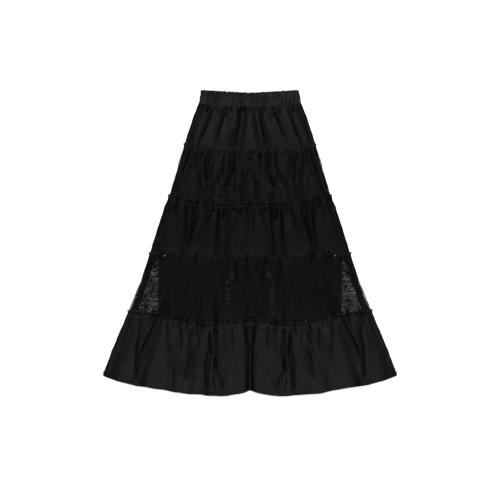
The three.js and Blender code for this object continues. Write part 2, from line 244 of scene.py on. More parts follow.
# %% [markdown]
# ## The main creases
# Folds decide how a laid garment looks. They are listed one by one: each is a soft trough or ridge
# along a line of two or more points. A point has its distance across from the middle, its
# distance down from the top of the waistband, a lift, negative for a trough, and a half width.
# The depth of a trough grows with the square of its lift, so that faint creases stay far
# shallower than sharp ones. Ridges rise by less than a third of their lift. The skirt was
# smoothed out from the middle, so the folds of both halves mirror each other.
# %% Chart the creases of each tier
# points of (across, down, lift, half width)
CREASES = {
    1: [
        [(34, 50, -4, 4), (37, 99, -5.5, 5), (49, 140, -6, 6.5), (56, 192, -6, 8)],
        [(42, 140, -2, 4), (44, 192, -3, 6)],
        [(12, 54, 3, 3.5), (20, 82, 3, 4)],
        [(20, 82, 3, 4.5), (36, 181, 3, 5)],
        [(9, 72, -2.5, 3), (16, 113, -3.4, 4), (27, 185, -3.6, 4.5)],
        [(9, 58, -2, 2.5), (1, 84, -1.2, 3)],
        [(73, 48, -4, 2.5), (73, 66, -3.5, 2.5)],
        [(79, 66, -3.5, 3), (56, 90, -2, 3)],
        [(80, 72, -4.2, 3.5), (100, 122, -3.4, 4), (115, 176, -1.5, 5)],
        [(82, 60, 3, 3), (96, 90, 2.5, 4)],
        [(92, 60, -2.5, 3), (98, 78, -1.5, 3)],
        [(119, 62, -3, 3.5), (133, 96, -4.2, 3.5)],
        [(133, 96, -4.2, 4.5), (152, 140, -3.4, 5.5)],
        [(152, 140, -3.4, 4.5), (166, 176, -3, 4.5)],
        [(123, 50, 3, 3), (133, 80, 2.5, 3.5)],
        [(134, 47, -3, 3), (134, 57, -3, 3)],
        [(174, 104, -2, 2.5), (192, 168, -2.4, 2.5)],
    ],
    2: [
        [(55, 194, -5, 4), (57, 250, -5.5, 4.5), (73, 290, -5.5, 5.5)],
        [(70, 318, -4, 4.5), (68, 348, -4, 5)],
        [(72, 215, 2, 5), (84, 268, 2.2, 6)],
        [(83, 222, -2.8, 3.5), (90, 262, -2.8, 4)],
        [(96, 262, -3, 4), (100, 284, -3, 4)],
        [(108, 285, -3.2, 4.5), (122, 335, -3.2, 4.5)],
        [(137, 200, -5, 3), (137, 266, -5, 3)],
        [(129, 196, -3, 2.5), (131, 262, -2.6, 2.5)],
        [(117, 238, -3, 3), (122, 262, -3, 3)],
        [(155, 256, -4.2, 3), (154, 345, -3.6, 3.5)],
        [(163, 250, -2.6, 2.5), (160, 330, -2.6, 3)],
        [(132, 266, -2.5, 2.5), (158, 270, -2, 2.5)],
        [(168, 198, -3.5, 4), (169, 250, -2.5, 5)],
        [(180, 225, -2.4, 4), (205, 282, -2.4, 4)],
        [(172, 240, 2, 5), (178, 325, 2, 6)],
        [(195, 250, 2, 4), (190, 290, 1.6, 5)],
        [(150, 312, -4, 4), (146, 348, -4, 4)],
        [(8, 256, -3.5, 3), (18, 285, -4, 3.5), (24, 345, -3.6, 4)],
        [(26, 215, 2.6, 6), (34, 312, 2.6, 7)],
        [(31, 198, -3, 3), (30, 226, -2.6, 3)],
        [(4, 198, -3, 3), (4, 216, -3, 3)],
        [(48, 262, -2, 5), (50, 310, -2, 5)],
        [(81, 200, -3, 3), (83, 214, -3, 3)],
    ],
    3: [
        [(196, 356, -5.5, 4), (197, 405, -5.5, 4)],
        [(197, 405, -5, 4), (203, 500, -4, 4.5)],
        [(172, 358, -6, 4.5), (173, 410, -6, 4.5)],
        [(173, 410, -5.5, 4), (187, 456, -5, 4.5)],
        [(187, 456, -4, 4.5), (202, 498, -4, 5)],
        [(165, 358, -4.5, 3.5), (163, 390, -3.5, 3)],
        [(184, 360, 3.5, 4.5), (192, 448, 3, 4.5)],
        [(140, 360, 3.4, 6), (160, 405, 3.2, 6)],
        [(160, 405, 3.2, 5), (186, 495, 3, 7)],
        [(131, 362, 2.5, 4), (136, 385, 2, 4)],
        [(127, 376, -3, 4), (140, 412, -3.2, 4)],
        [(140, 412, -3, 4.5), (158, 462, -1.8, 5)],
        [(122, 366, -3, 4), (114, 370, -3, 4)],
        [(97, 372, -4.5, 3.5), (98, 420, -5.5, 4), (100, 462, -5, 4)],
        [(100, 462, -3.6, 5), (104, 512, -3.4, 5)],
        [(102, 366, 3, 4.5), (113, 500, 3, 5)],
        [(82, 362, -4.5, 3), (82, 388, -4.5, 3)],
        [(68, 356, -4.5, 4), (70, 430, -4, 4), (75, 515, -4, 4)],
        [(40, 372, 3, 5), (54, 410, 3, 5)],
        [(54, 410, 3.2, 5), (64, 515, 3, 4.5)],
        [(47, 368, -4, 3), (43, 371, -4, 3)],
        [(31, 362, -5, 3.5), (32, 382, -4, 3)],
        [(33, 384, -2, 4), (52, 450, -2, 5)],
        [(8, 360, -4, 2.5), (8, 395, -3.5, 3)],
        [(8, 395, -2.4, 3), (9, 470, -1.5, 3)],
        [(20, 362, -3, 3), (21, 376, -3, 3)],
        [(231, 360, -3, 4), (230, 415, -2.5, 5)],
        [(230, 415, -2, 5), (226, 446, -1.4, 6)],
        [(236, 358, 2.4, 5), (238, 400, 2, 7)],
    ],
    4: [
        [(228, 540, -2.5, 5), (244, 598, -2.5, 5)],
        [(244, 598, -2.8, 6), (262, 655, -3.4, 6)],
        [(264, 655, -5, 4.5), (276, 688, -5.5, 5)],
        [(276, 688, -6, 5), (294, 712, -6, 5)],
        [(256, 655, -3, 4), (262, 700, -3, 5)],
        [(202, 536, -2.5, 4.5), (218, 605, -2.2, 5)],
        [(224, 606, -1.8, 5), (236, 640, -1.4, 5)],
        [(188, 586, -2.4, 6), (206, 648, -1.8, 6)],
        [(92, 535, -2.4, 6), (90, 610, -2.4, 6)],
        [(103, 622, -2.6, 4), (105, 720, -3.6, 4)],
        [(46, 542, -4.5, 4), (38, 592, -3.6, 4)],
        [(66, 500, 2, 4), (66, 545, 2, 4)],
        [(148, 684, 2.4, 4), (150, 716, 2.4, 4)],
        [(175, 672, 2, 4), (176, 706, 2, 4)],
        [(132, 560, 1.6, 8), (136, 660, 1.6, 8)],
        [(0, 560, 1.6, 14), (0, 690, 1.6, 16)],
    ],
    5: [
        [(15, 720, -5, 4), (7, 786, -5.5, 3.5)],
        [(3, 735, -3, 2.5), (2, 775, -3, 2.5)],
        [(6, 784, -4, 3.5), (2, 806, -5, 3.5)],
        [(2, 805, -6, 4), (3, 946, -6.5, 4.5)],
        [(24, 730, 3, 4), (14, 800, 2.4, 4)],
        [(58, 736, -3, 3), (54, 786, -2.5, 3)],
        [(108, 722, -6, 4), (105, 750, -6, 3.5)],
        [(108, 750, -4.5, 3.5), (105, 790, -4, 4)],
        [(105, 790, -3.5, 4), (104, 838, -3.5, 4)],
        [(106, 836, -5.5, 3.5), (106, 862, -5.5, 4)],
        [(106, 862, -4.5, 4), (98, 882, -3, 4.5)],
        [(99, 882, -2.8, 6), (90, 910, -2.6, 5)],
        [(125, 745, -3, 2.5), (125, 778, -5, 3.5)],
        [(124, 778, -6, 4), (122, 816, -6, 4.5)],
        [(128, 818, -3.6, 6), (133, 862, -3.6, 5.5)],
        [(133, 862, -4, 4), (137, 912, -3.6, 4.5)],
        [(137, 912, -2.5, 4.5), (141, 938, -2, 5)],
        [(110, 884, -2.4, 9), (106, 912, -2.2, 10)],
        [(129, 748, 3, 3), (132, 795, 3, 4)],
        [(132, 795, 3, 4.5), (149, 870, 2.4, 6)],
        [(95, 750, 2.6, 4), (88, 850, 2.4, 5)],
        [(174, 738, -3, 4), (186, 782, -3.2, 5), (198, 815, -2, 5)],
        [(178, 800, -2.5, 3), (183, 825, -4, 3.5)],
        [(183, 825, -4, 4), (198, 884, -2.5, 4.5)],
        [(176, 770, 2.4, 3.5), (188, 812, 3, 4), (200, 850, 2, 5)],
        [(215, 752, -3.5, 3), (214, 788, -3, 3)],
        [(186, 730, -2.6, 2.5), (190, 762, -2.6, 2.5)],
        [(166, 742, -2, 3), (160, 776, -2, 3)],
        [(150, 872, -1.8, 5), (147, 892, -1.5, 5)],
        [(286, 700, -6, 4.5), (303, 742, -6, 4.5), (330, 800, -6, 4.5)],
        [(330, 800, -4.5, 4.5), (343, 836, -3.5, 5)],
        [(339, 752, -4.5, 4.5), (349, 800, -4.5, 4), (350, 840, -4.5, 4.5)],
        [(350, 840, -5, 5), (355, 884, -4, 5)],
        [(338, 702, -3.5, 6), (340, 752, -4, 5)],
        [(330, 740, -2.5, 3), (320, 758, -2.5, 3)],
        [(312, 722, 2, 3), (328, 765, 2.4, 4)],
        [(364, 688, -4, 3.5), (383, 752, -4, 4), (406, 800, -3.6, 4)],
        [(418, 812, -3, 4), (430, 866, -2.4, 4)],
        [(358, 712, 2.4, 4), (374, 752, 2, 4)],
        [(368, 752, -2, 4), (386, 806, -1.6, 5)],
        [(252, 718, -3.4, 3), (254, 760, -2.6, 4)],
        [(252, 765, -2.6, 6), (248, 800, -3, 7)],
        [(248, 800, -2.8, 7), (258, 846, -1.8, 7)],
        [(210, 850, 2.2, 8), (216, 910, 2.4, 9)],
        [(242, 862, -1.8, 8), (240, 915, -2, 8)],
        [(286, 722, -2.5, 3), (280, 752, -1.5, 4)],
        [(400, 884, -2, 3), (352, 895, -2, 3)],
    ],
}
CREASE_END = 9.0  # length over which a crease fades at each of its ends
TROUGH_DEPTH = {1: 0.32, 2: 0.34, 3: 0.4, 4: 0.36, 5: 0.3}  # of a trough with a lift of one
DEEPEST = 9.0  # no trough is deeper
RIDGE_HEIGHT = 0.3  # of the charted lift
CREASE_WIDTH = 0.8  # of the charted half width
TROUGH_SHAPE = 1.2  # below 2 a trough is sharper at its bottom than a ridge at its top


def crease_piece(across, down, start, end):
    """Lift along one stretch of a crease, distance aside in half widths, and how far the ends have faded."""
    (x0, y0, lift0, wide0), (x1, y1, lift1, wide1) = start, end
    run = math.hypot(x1 - x0, y1 - y0)
    ux, uy = (x1 - x0) / run, (y1 - y0) / run
    along = (across - x0) * ux + (down - y0) * uy
    share = np.clip(along / run, 0, 1)
    beyond = np.maximum(np.maximum(-along, along - run), 0)
    aside = (across - x0) * uy - (down - y0) * ux
    half = CREASE_WIDTH * (wide0 + (wide1 - wide0) * share)
    return lift0 + (lift1 - lift0) * share, aside / half, (beyond / CREASE_END) ** 2


def creases_at(tier, x, y):
    """Height that the charted creases of a tier add at x and y. Where some cross, the strongest counts."""
    across, down = np.abs(x), WAIST_Y - y
    troughs = np.zeros(across.shape)
    ridges = np.zeros(across.shape)
    for line in CREASES[tier]:
        for start, end in zip(line, line[1:]):
            lift, aside, fade = crease_piece(across, down, start, end)
            if start[2] < 0:
                depth = np.minimum(TROUGH_DEPTH[tier] * lift ** 2, DEEPEST)
                troughs = np.maximum(troughs, depth * np.exp(-np.abs(aside) ** TROUGH_SHAPE - fade))
            else:
                ridges = np.maximum(ridges, RIDGE_HEIGHT * lift * np.exp(-aside ** 2 - fade))
    return ridges - troughs


# %% [markdown]
# ## Gathers
# The upper edge of each tier is cut wider than the tier above and drawn up on a thread. That
# makes a row of small pleats of uneven width, with narrow valleys between them. A valley runs
# from the frill across the stitches and dies out at its own length, the deepest ones last. One
# list of valleys per seam holds for the frill and for the tier below.
# %% Draw the gathers of each seam
# pitch and depth of the valleys, how far they reach down, how far the pleats between them puff
# up below the stitches, and how far the frill rises
GATHERS = {
    1: {"pitch": 12.0, "depth": 2.8, "reach": 16.0, "puff": 1.0, "frill": 0.0},
    2: {"pitch": 10.0, "depth": 4.2, "reach": 42.0, "puff": 1.2, "frill": 2.2},
    3: {"pitch": 11.0, "depth": 6.0, "reach": 30.0, "puff": 1.6, "frill": 2.4},
    4: {"pitch": 11.5, "depth": 4.0, "reach": 34.0, "puff": 1.4, "frill": 2.6},
    5: {"pitch": 11.0, "depth": 5.0, "reach": 22.0, "puff": 2.0, "frill": 2.8},
}
SPACING = (0.55, 1.55)  # least and most distance from one valley to the next, as a share of the pitch
VALLEY = (1.3, 2.4)  # least and most half width of a valley at the stitches
VALLEY_OPENS = 50.0  # a valley gets wider over this length
LEAN = 0.15  # most sideways run of a valley for each millimetre down
PUFF_RISE = 10.0  # length over which the pleats puff up below the stitches
LONG_PLEATS = 0.06  # share of the valleys that run twice as far as the rest
FRILL_WIDE = 9.0  # between the ruffles of a frill
FRILL_CURVE = 1.5  # the frill's crest wanders up and down by this much


def draw_pleats(tier, seed):
    """Place, depth, half width, reach and lean of each valley between two pleats."""
    draw = np.random.default_rng(seed)
    gathers = GATHERS[tier]
    top_y = float(np.mean(stitch_line(tier)(np.array([0.0, 200.0]))))
    half = float(half_at(top_y)) + 8
    pleats = []
    at = -half
    while at < half:
        size = draw.uniform(*SPACING)
        strength = draw.uniform() ** 2
        reach = gathers["reach"] * (0.35 + 0.9 * strength)
        if draw.uniform() < LONG_PLEATS:
            reach *= 2
        depth = gathers["depth"] * (0.1 + 1.5 * strength)
        pleats.append((at, depth, draw.uniform(*VALLEY), reach, draw.uniform(-LEAN, LEAN)))
        at += gathers["pitch"] * size
    return pleats


PLEATS = {(tier, side): draw_pleats(tier, tier + 10 * (side < 0)) for tier in TIERS for side, _ in SIDES}
print("pleats at each seam:", [len(PLEATS[tier, 1]) for tier in TIERS])


def gathers_at(tier, side, x, y):
    """Height that the gathers at a tier's upper seam add at x and y."""
    line = stitch_line(tier)(x)
    below = line - y
    under = np.maximum(below, 0)
    seam_x = x * half_at(line) / half_at(y)
    reach = GATHERS[tier]["reach"]
    total = GATHERS[tier]["puff"] * (1 - np.exp(-(under / PUFF_RISE) ** 2)) * np.exp(-(under / reach) ** 2)
    for at, depth, half, reach, lean in PLEATS[tier, side]:
        aside = seam_x - at - lean * np.clip(below, -HEADING, 60)
        wide = half * (1 + 1.2 * smooth_step(under / VALLEY_OPENS))
        total -= depth * np.exp(-np.abs(aside / wide) ** TROUGH_SHAPE - (under / reach) ** 2)
    return total


def frill_at(tier, side, x, y):
    """Height of the frill over what it lies on: an uneven crest between the stitches and its free edge."""
    up = y - stitch_line(tier)(x) + FRILL_CURVE * wander(x, 62 + tier + side, FRILL_WIDE)
    ruffle = 0.65 + 0.7 * ripple(x, 0.5 * y, 60 + tier + side, FRILL_WIDE) + 0.35 * ripple(x, y, 65 + tier, 6)
    crest = smooth_step((up + 1) / 6.5) * (1 - 0.5 * smooth_step((up - 6) / 3.5))
    return GATHERS[tier]["frill"] * crest * np.clip(ruffle, 0.05, 1.6)


# %% [markdown]
# ## The height of the front
# The front of a tier is its softened solid, a little loft, the creases and the gathers. Deep
# folds level out before they reach the lining or the back, and the tier's top edge rides on the
# foot of the tier above. At the sides it rolls down to the seam, where it meets the back.
# %% Work out the front's height anywhere
ROOM = 0.8  # between the sheets of two layers
HALF_WALL = 0.6  # from the face of a solid to the middle of its cloth
SEAM_LOFT = 4.0  # the cloth stands this far off its solid at a seam
LOFT = {1: 5.2, 2: 5.0, 3: 5.4, 4: 5.0, 5: 5.6}  # and this far between the seams
CEILING = 21.0  # nothing stands higher
STEP_DOWN = 14.0  # past the lining's edge the front comes down to the back over this length
SIDE_ROLL = 9.0  # width of the roll at the side seam
SIDE_Z = 1.1  # height of the side seam
ALLOWANCE = 6.0  # cloth of the upper tier that ends behind the gathering stitches
LOFT_BELOW = 24.0  # the loft is reached this far below the stitches
LOFT_INSIDE = 40.0  # and this far from the side
LOFT_ABOVE = 22.0  # and this far above the allowance
BROAD_RIPPLE = 0.8  # height of the broad slack ripples
FINE_RIPPLE = {"lace": 0.35, "poplin": 0.2}  # and of the fine upright ones
PINCH = 0.35  # the stitches draw both layers down by this much
PULL_REACH = 14.0  # a gathered seam also puckers the foot of the tier above it, this far up
DROP = 3.0  # the allowance falls away by this much, which leaves the gathers room
STREAK_REACH = 70.0  # on poplin the fine ripples fade over this length below the stitches
BAND_TUCK = 1.6  # the first tier dips by this much where it goes in under the band
TUCK_REACH = 26.0  # and comes up again over this length
HEM_TURN = 14.0  # cloth turned up inside the hem
HEM_PINCH = 0.5  # the hem's stitches draw it down by this much


def lining_half(y):
    """Half width of the lining at y, and nothing below its foot."""
    return np.interp(-y, -LINING_Y, LINING_HALF)


def under_front(x, y):
    """Height of what the front lies on: the lining, and past its side the back."""
    past_side = smooth_step((np.abs(x) - lining_half(y)) / STEP_DOWN)
    past_foot = smooth_step((LINING_FOOT(x) - y) / STEP_DOWN)
    lined = (1 - past_side) * (1 - past_foot)
    return BACK_TOP + (LINING_TOP - BACK_TOP) * lined


def roll_at_side(x, y, z):
    """Brings a height down to the side seam in a quarter round."""
    inside = np.clip((half_at(y) - np.abs(x)) / SIDE_ROLL, 0, 1)
    return SIDE_Z + (z - SIDE_Z) * np.sqrt(1 - (1 - inside) ** 2)


def front_height(tier, x, y, lapped=True):
    """Height of the front of a tier. The tier above is looked up where the top edge laps over it."""
    below = stitch_line(tier)(x) - y
    above_foot = y - FOOT[tier](x)
    inside = half_at(y) - np.abs(x)
    free = smooth_step(below / LOFT_BELOW) * smooth_step(inside / LOFT_INSIDE)
    into_tier = smooth_step((below + 5) / 10)
    streaks = 0.12 + 0.88 * np.exp(-np.maximum(below, 0) / STREAK_REACH)
    fine = FINE_RIPPLE["lace"] if tier in LACE_TIERS else FINE_RIPPLE["poplin"] * streaks
    ripples = ripple(x, y, 40 + tier, 60, upright=2.2) * BROAD_RIPPLE
    ripples = ripples + ripple(x, y, 55 + tier, 14, upright=6) * fine
    z = RELIEF[tier](x, y) - HALF_WALL
    if tier == LOWEST:
        free = free * (0.5 + 0.5 * smooth_step(above_foot / 60))
        z = z - HEM_PINCH * np.exp(-((above_foot - HEM_TURN + 2) / 1.8) ** 2)
    else:
        free = free * smooth_step((above_foot - ALLOWANCE) / LOFT_ABOVE)
        into_tier = into_tier * (0.7 + 0.3 * smooth_step((above_foot - ALLOWANCE) / 14))
        z = z - PINCH * np.exp(-((above_foot - ALLOWANCE) / 2.6) ** 2)
    z = z + SEAM_LOFT + (LOFT[tier] - SEAM_LOFT) * free
    if tier == 1:
        z = z - BAND_TUCK * np.exp(-(np.maximum(below, 0) / TUCK_REACH) ** 2)
    uncreased = z
    z = z + (creases_at(tier, x, y) + ripples * free) * into_tier
    z = -soft_max(-z, -CEILING)
    pleats = gathers_at(tier, 1, x, y) * smooth_step((inside + 2) / 12)
    if tier != LOWEST:
        past = stitch_line(tier + 1)(x)
        near = np.exp(-(np.maximum(y - past, 0) / PULL_REACH) ** 2)
        z = z + gathers_at(tier + 1, 1, x, np.maximum(y, past + 1)) * near
    if tier == 1 or not lapped:
        z = z + pleats
    else:
        upper_foot = FOOT[tier - 1](x)
        carried = front_height(tier - 1, x, np.maximum(y, upper_foot), lapped=False)
        on_top = 1 - smooth_step((upper_foot - y) / 10)
        z = z + (soft_max(z, carried + ROOM / 2, 0.3) - z) * on_top
        z = z + frill_at(tier, 1, x, y) + pleats
        hidden = carried - DROP * smooth_step(below / 3) + ROOM / 2
        z = np.where(on_top > 0, np.maximum(z, hidden), z)
    if tier != LOWEST and lapped:
        z = z - DROP * smooth_step((ALLOWANCE - above_foot) / 3)
    room = np.maximum(uncreased - under_front(x, y) - ROOM / 2, 0.5)
    z = np.where(z < uncreased, uncreased - room * np.tanh((uncreased - z) / room), z)
    return roll_at_side(x, y, z)


# %% [markdown]
# ## The height of the back
# The back lies on the surface, so it can only lift off it. Its folds are low and reach up into
# the skirt. At each seam the tier below laps over it on the outside, which is underneath here,
# so the foot of the tier above is lifted by one layer.
# %% Work out the back's height anywhere
BACK_Z = 0.45  # middle of the cloth that lies on the surface
BACK_SIDE_Z = SIDE_Z - 0.35  # where the back meets the front at the side seam
BACK_ROLL = 5.0  # width of the roll that goes up to it
BACK_CREASES = 0.3  # the charted creases of the front show this much
BACK_GATHERS = 0.5  # and the gathers this much
LAP_LIFT = 1.3  # how far the foot of a tier is lifted by the frill under it
MOST_LIFT = 1.7  # there is no more room than this under the lining


def back_height(tier, x, y):
    """Height of the back of a tier."""
    below = stitch_line(tier)(x) - y
    above_foot = y - FOOT[tier](x)
    creases = np.maximum(-creases_at(tier, x, y), 0) * BACK_CREASES * smooth_step((below + 5) / 10)
    broad = np.maximum(ripple(x, y, 70 + tier, 60, upright=2.5) * 0.5, 0)
    lift = creases + broad + np.maximum(-gathers_at(tier, -1, x, y), 0) * BACK_GATHERS
    inside = half_at(y) - np.abs(x)
    lift = MOST_LIFT * np.tanh(lift / MOST_LIFT) * smooth_step(inside / 14)
    if tier != LOWEST:
        lapped = 1 - smooth_step((above_foot - ALLOWANCE - HEADING) / 14)
        lift = lift * (1 - 0.75 * lapped) + LAP_LIFT * lapped
    if tier != 1:
        lift = np.where(below < 3, lift * 0.4, lift)
    z = BACK_Z + lift
    near_side = np.clip(inside / BACK_ROLL, 0, 1)
    return BACK_SIDE_Z + (z - BACK_SIDE_Z) * np.sqrt(1 - (1 - near_side) ** 2)


def surface(tier, side, x, y):
    """Height of the outer face of a tier's front (side 1) or back (side -1)."""
    return front_height(tier, x, y) if side > 0 else back_height(tier, x, y)


# %% [markdown]
# ## Colours and nodes
# Black cloth isn't quite black: its threads return a few thousandths of the light, and a weak
# shine is added to that. Colours are written as sRGB hex values and turned into linear light by
# one function. The others add a node with its settings and links, or what every cloth needs.
# %% Colour conversion and node helpers
CLOTH_UV = "Cloth"  # the panel's own map, in metres of flat cloth


def linear(hex_colour):
    """An sRGB hex colour as linear red, green, blue and alpha."""
    channels = [int(hex_colour[i:i + 2], 16) / 255 for i in (1, 3, 5)]
    return [c / 12.92 if c <= 0.04045 else ((c + 0.055) / 1.055) ** 2.4 for c in channels] + [1.0]


def add_node(tree, kind, settings=None, inputs=None):
    """Adds a node, sets its properties, and gives each input a value or another node's output."""
    node = tree.nodes.new(kind)
    for name, value in (settings or {}).items():
        setattr(node, name, value)
    for name, value in (inputs or {}).items():
        if isinstance(value, bpy.types.NodeSocket):
            tree.links.new(value, node.inputs[name])
        else:
            node.inputs[name].default_value = value
    return node


def new_material(name):
    """A material and its empty node tree."""
    material = bpy.data.materials.new(name)
    material.use_nodes = True
    material.node_tree.nodes.clear()
    return material, material.node_tree


def finish_material(tree, inputs):
    """Ends a material's nodes in one shader with these inputs."""
    shader = add_node(tree, "ShaderNodeBsdfPrincipled", {}, inputs)
    add_node(tree, "ShaderNodeOutputMaterial", {}, {"Surface": shader.outputs["BSDF"]})


def noise(tree, place, size, detail, roughness):
    """Cloudy noise with spots near `size` metres wide."""
    inputs = {"Vector": place, "Scale": 1 / size, "Detail": detail, "Roughness": roughness}
    return add_node(tree, "ShaderNodeTexNoise", {}, inputs).outputs["Fac"]


def waves(tree, where, direction, pitch):
    """Parallel ridges, pitch metres apart: 0 in the grooves and 1 on the ridges."""
    scale = math.tau / 20 / pitch  # a wave texture has 20 radians in one unit
    settings = {"wave_type": "BANDS", "bands_direction": direction}
    return add_node(tree, "ShaderNodeTexWave", settings, {"Vector": where, "Scale": scale}).outputs["Fac"]


def combine(tree, operation, first, second):
    """Two values joined by a maths operation."""
    return add_node(tree, "ShaderNodeMath", {"operation": operation}, {0: first, 1: second}).outputs[0]


def bump(tree, height, strength, distance, **under):
    """A bump normal. It may be given the Normal that it lies on."""
    inputs = {"Strength": strength, "Distance": distance, "Height": height, **under}
    return add_node(tree, "ShaderNodeBump", {}, inputs).outputs["Normal"]


def blend(tree, share, shade, light_shade):
    """A colour between two shades."""
    inputs = {"Factor": share, "A": linear(shade), "B": linear(light_shade)}
    return add_node(tree, "ShaderNodeMix", {"data_type": "RGBA"}, inputs).outputs["Result"]


# %% [markdown]
# ## Poplin and lining
# Cotton-blend poplin is a close plain weave, dyed black: a fine cross rib, almost matt, with a
# faint lustre where a fold turns to the light. The real threads are about 0.3 mm apart, too fine
# to show, so the weave is drawn three times as coarse and kept shallow. A slow change of tone
# stands for the uneven nap of pressed cloth. The lining is a thin plain weave, flatter and duller
# than poplin. It is only seen through the lace and at the open waist and hem.
# %% Make the plain weaves
CRUMPLE = 0.0016  # depth of the crumples in the cloth, metres
CRUMPLE_SIZE = 0.016
TONE_SIZE = 0.05


def woven_cloth(name, shade, light_shade, pitch, roughness, specular):
    """A plain weave, pitch metres between threads, with crumples and a slow change of tone."""
    material, tree = new_material(name)
    place = add_node(tree, "ShaderNodeTexCoord").outputs["Object"]
    uv = add_node(tree, "ShaderNodeUVMap", {"uv_map": CLOTH_UV}).outputs["UV"]
    crumpled = bump(tree, noise(tree, place, CRUMPLE_SIZE, 2.0, 0.5), 0.5, CRUMPLE)
    threads = combine(tree, "MULTIPLY", waves(tree, uv, "X", pitch), waves(tree, uv, "Y", pitch))
    finish_material(tree, {
        "Base Color": blend(tree, noise(tree, place, TONE_SIZE, 3.0, 0.6), shade, light_shade),
        "Roughness": roughness,
        "IOR": 1.5,
        "Specular IOR Level": specular,
        "Normal": bump(tree, threads, 0.3, pitch * 0.25, Normal=crumpled),
    })
    return material


POPLIN = woven_cloth("Black poplin", "#030303", "#060606", 0.0009, 0.36, 0.043)
# a darker, less shiny copy of the same poplin for the third tier, which lies in shade between the lights:
# painted shade
SHADED_POPLIN = woven_cloth("Black poplin, darker copy for painted shade", "#020202", "#040404", 0.0009, 0.38, 0.032)
# a lighter, shinier copy of the same poplin for the band, which catches more light: painted highlight
BAND_POPLIN_LIT = woven_cloth("Black poplin, drawn up on elastic", "#040404", "#070707", 0.0009, 0.36, 0.064)
LINING = woven_cloth("Black plain lining", "#040404", "#060606", 0.0007, 0.7, 0.02)

# %% [markdown]
# ## Lace
# Machine lace is a fine net with flowers and leaves worked in it in thicker thread. The net lets
# about a third of the light through. Its meshes are drawn 2.2 mm wide, as the cells of a Voronoi
# pattern on the flat cloth: near a cell's edge there is thread, and inside it a hole. Small solid
# spots are strewn over the net in the same way. The motifs are real meshes on it, so that they
# stand out in relief. Where lace is overlocked or folded, it is as close as a coarse weave.
# %% Make the net and the threads
NET_PITCH = 0.0022
NET_THREAD = 0.195  # half width of a thread as a share of the pitch
THREAD_BLUR = 0.03  # a thread's edge is soft over this share of the pitch
SPOT_PITCH = 0.006
SPOT_RADIUS = 0.25  # as a share of the pitch


def voronoi(tree, place, feature, pitch, randomness):
    """Distance in a Voronoi pattern, to a cell's middle (F1) or to its edge, as a share of the pitch."""
    settings = {"feature": feature, "voronoi_dimensions": "2D"}
    inputs = {"Vector": place, "Scale": 1 / pitch, "Randomness": randomness}
    return add_node(tree, "ShaderNodeTexVoronoi", settings, inputs).outputs["Distance"]


def make_net(name, specular):
    """A net of fine thread, with small spots of close thread strewn over it."""
    material, tree = new_material(name)
    uv = add_node(tree, "ShaderNodeUVMap", {"uv_map": CLOTH_UV}).outputs["UV"]
    spots = combine(tree, "LESS_THAN", voronoi(tree, uv, "F1", SPOT_PITCH, 0.7), SPOT_RADIUS)
    to_edge = voronoi(tree, uv, "DISTANCE_TO_EDGE", NET_PITCH, 0.45)
    thread = add_node(tree, "ShaderNodeMapRange", {}, {
        "Value": to_edge,
        "From Min": NET_THREAD - THREAD_BLUR,
        "From Max": NET_THREAD + THREAD_BLUR,
        "To Min": 1.0,
        "To Max": 0.0,
    })
    finish_material(tree, {
        "Base Color": linear("#040404"),
        "Roughness": 0.42,
        "IOR": 1.5,
        "Specular IOR Level": specular,
        "Alpha": combine(tree, "MAXIMUM", thread.outputs["Result"], spots),
    })
    return material


def satin_thread(name, shade, light_shade, specular):
    """Close satin stitches: fine parallel ridges in the bump, and painted shade that colours the grooves
    between them darker than the ridges.
    """
    material, tree = new_material(name)
    place = add_node(tree, "ShaderNodeTexCoord").outputs["Object"]
    ridges = waves(tree, place, "DIAGONAL", 0.0016)
    finish_material(tree, {
        # the ridges colour the thread lighter and the grooves darker: painted shade at the scale of the
        # stitches
        "Base Color": blend(tree, ridges, shade, light_shade),
        "Roughness": 0.4,
        "IOR": 1.5,
        "Specular IOR Level": specular,
        "Normal": bump(tree, ridges, 0.5, 0.0003),
    })
    return material


NET = make_net("Black lace net", 0.038)
# a less shiny copy of the same net for the fourth tier: painted shade
SHADED_NET = make_net("Black lace net, darker copy for painted shade", 0.031)
LACE_EDGE = woven_cloth("Overlocked lace edge", "#040404", "#060606", 0.0024, 0.7, 0.02)
HEADING_LACE = woven_cloth("Folded lace heading", "#040404", "#080808", 0.002, 0.42, 0.045)
# the free edges of the frills: a lighter, shinier thread that paints the thin light line where each edge
# catches the light, a painted highlight
FRILL_EDGE_HIGHLIGHT = woven_cloth("Frill edge, lighter and shinier for painted highlight", "#080808", "#101010", 0.0012, 0.4, 0.075)
MOTIF = satin_thread("Black lace motif thread", "#040404", "#080808", 0.036)
# a duller copy of the same motif thread for the fourth tier: painted shade
SHADED_MOTIF = satin_thread("Black lace motif thread, duller copy for painted shade", "#060606", "#080808", 0.02)
# the scallops are real motifs; their lighter, shinier thread paints the specks of light that they catch:
# painted highlight
SHELL = satin_thread("Lace scallop thread, lighter for painted highlight", "#060606", "#0a0a0a", 0.05)
SEWING = satin_thread("Black sewing thread", "#0a0a0a", "#131313", 0.12)
TACK = satin_thread("Pale tacking thread", "#8c8c88", "#b4b4b0", 0.3)

# %% [markdown]
# ## From a grid to a sheet of cloth
# A panel starts as Blender's grid, flat and square. Its rows and columns are then carried to
# their places on the skirt, as a pattern piece is carried to the body. The same rows and columns
# give the cloth map, so that the weave keeps to the cloth and not to the room.
# %% Build a panel from a grid
BACK_CUT = 0.37  # metres from the front's cut to the back's on the length of cloth


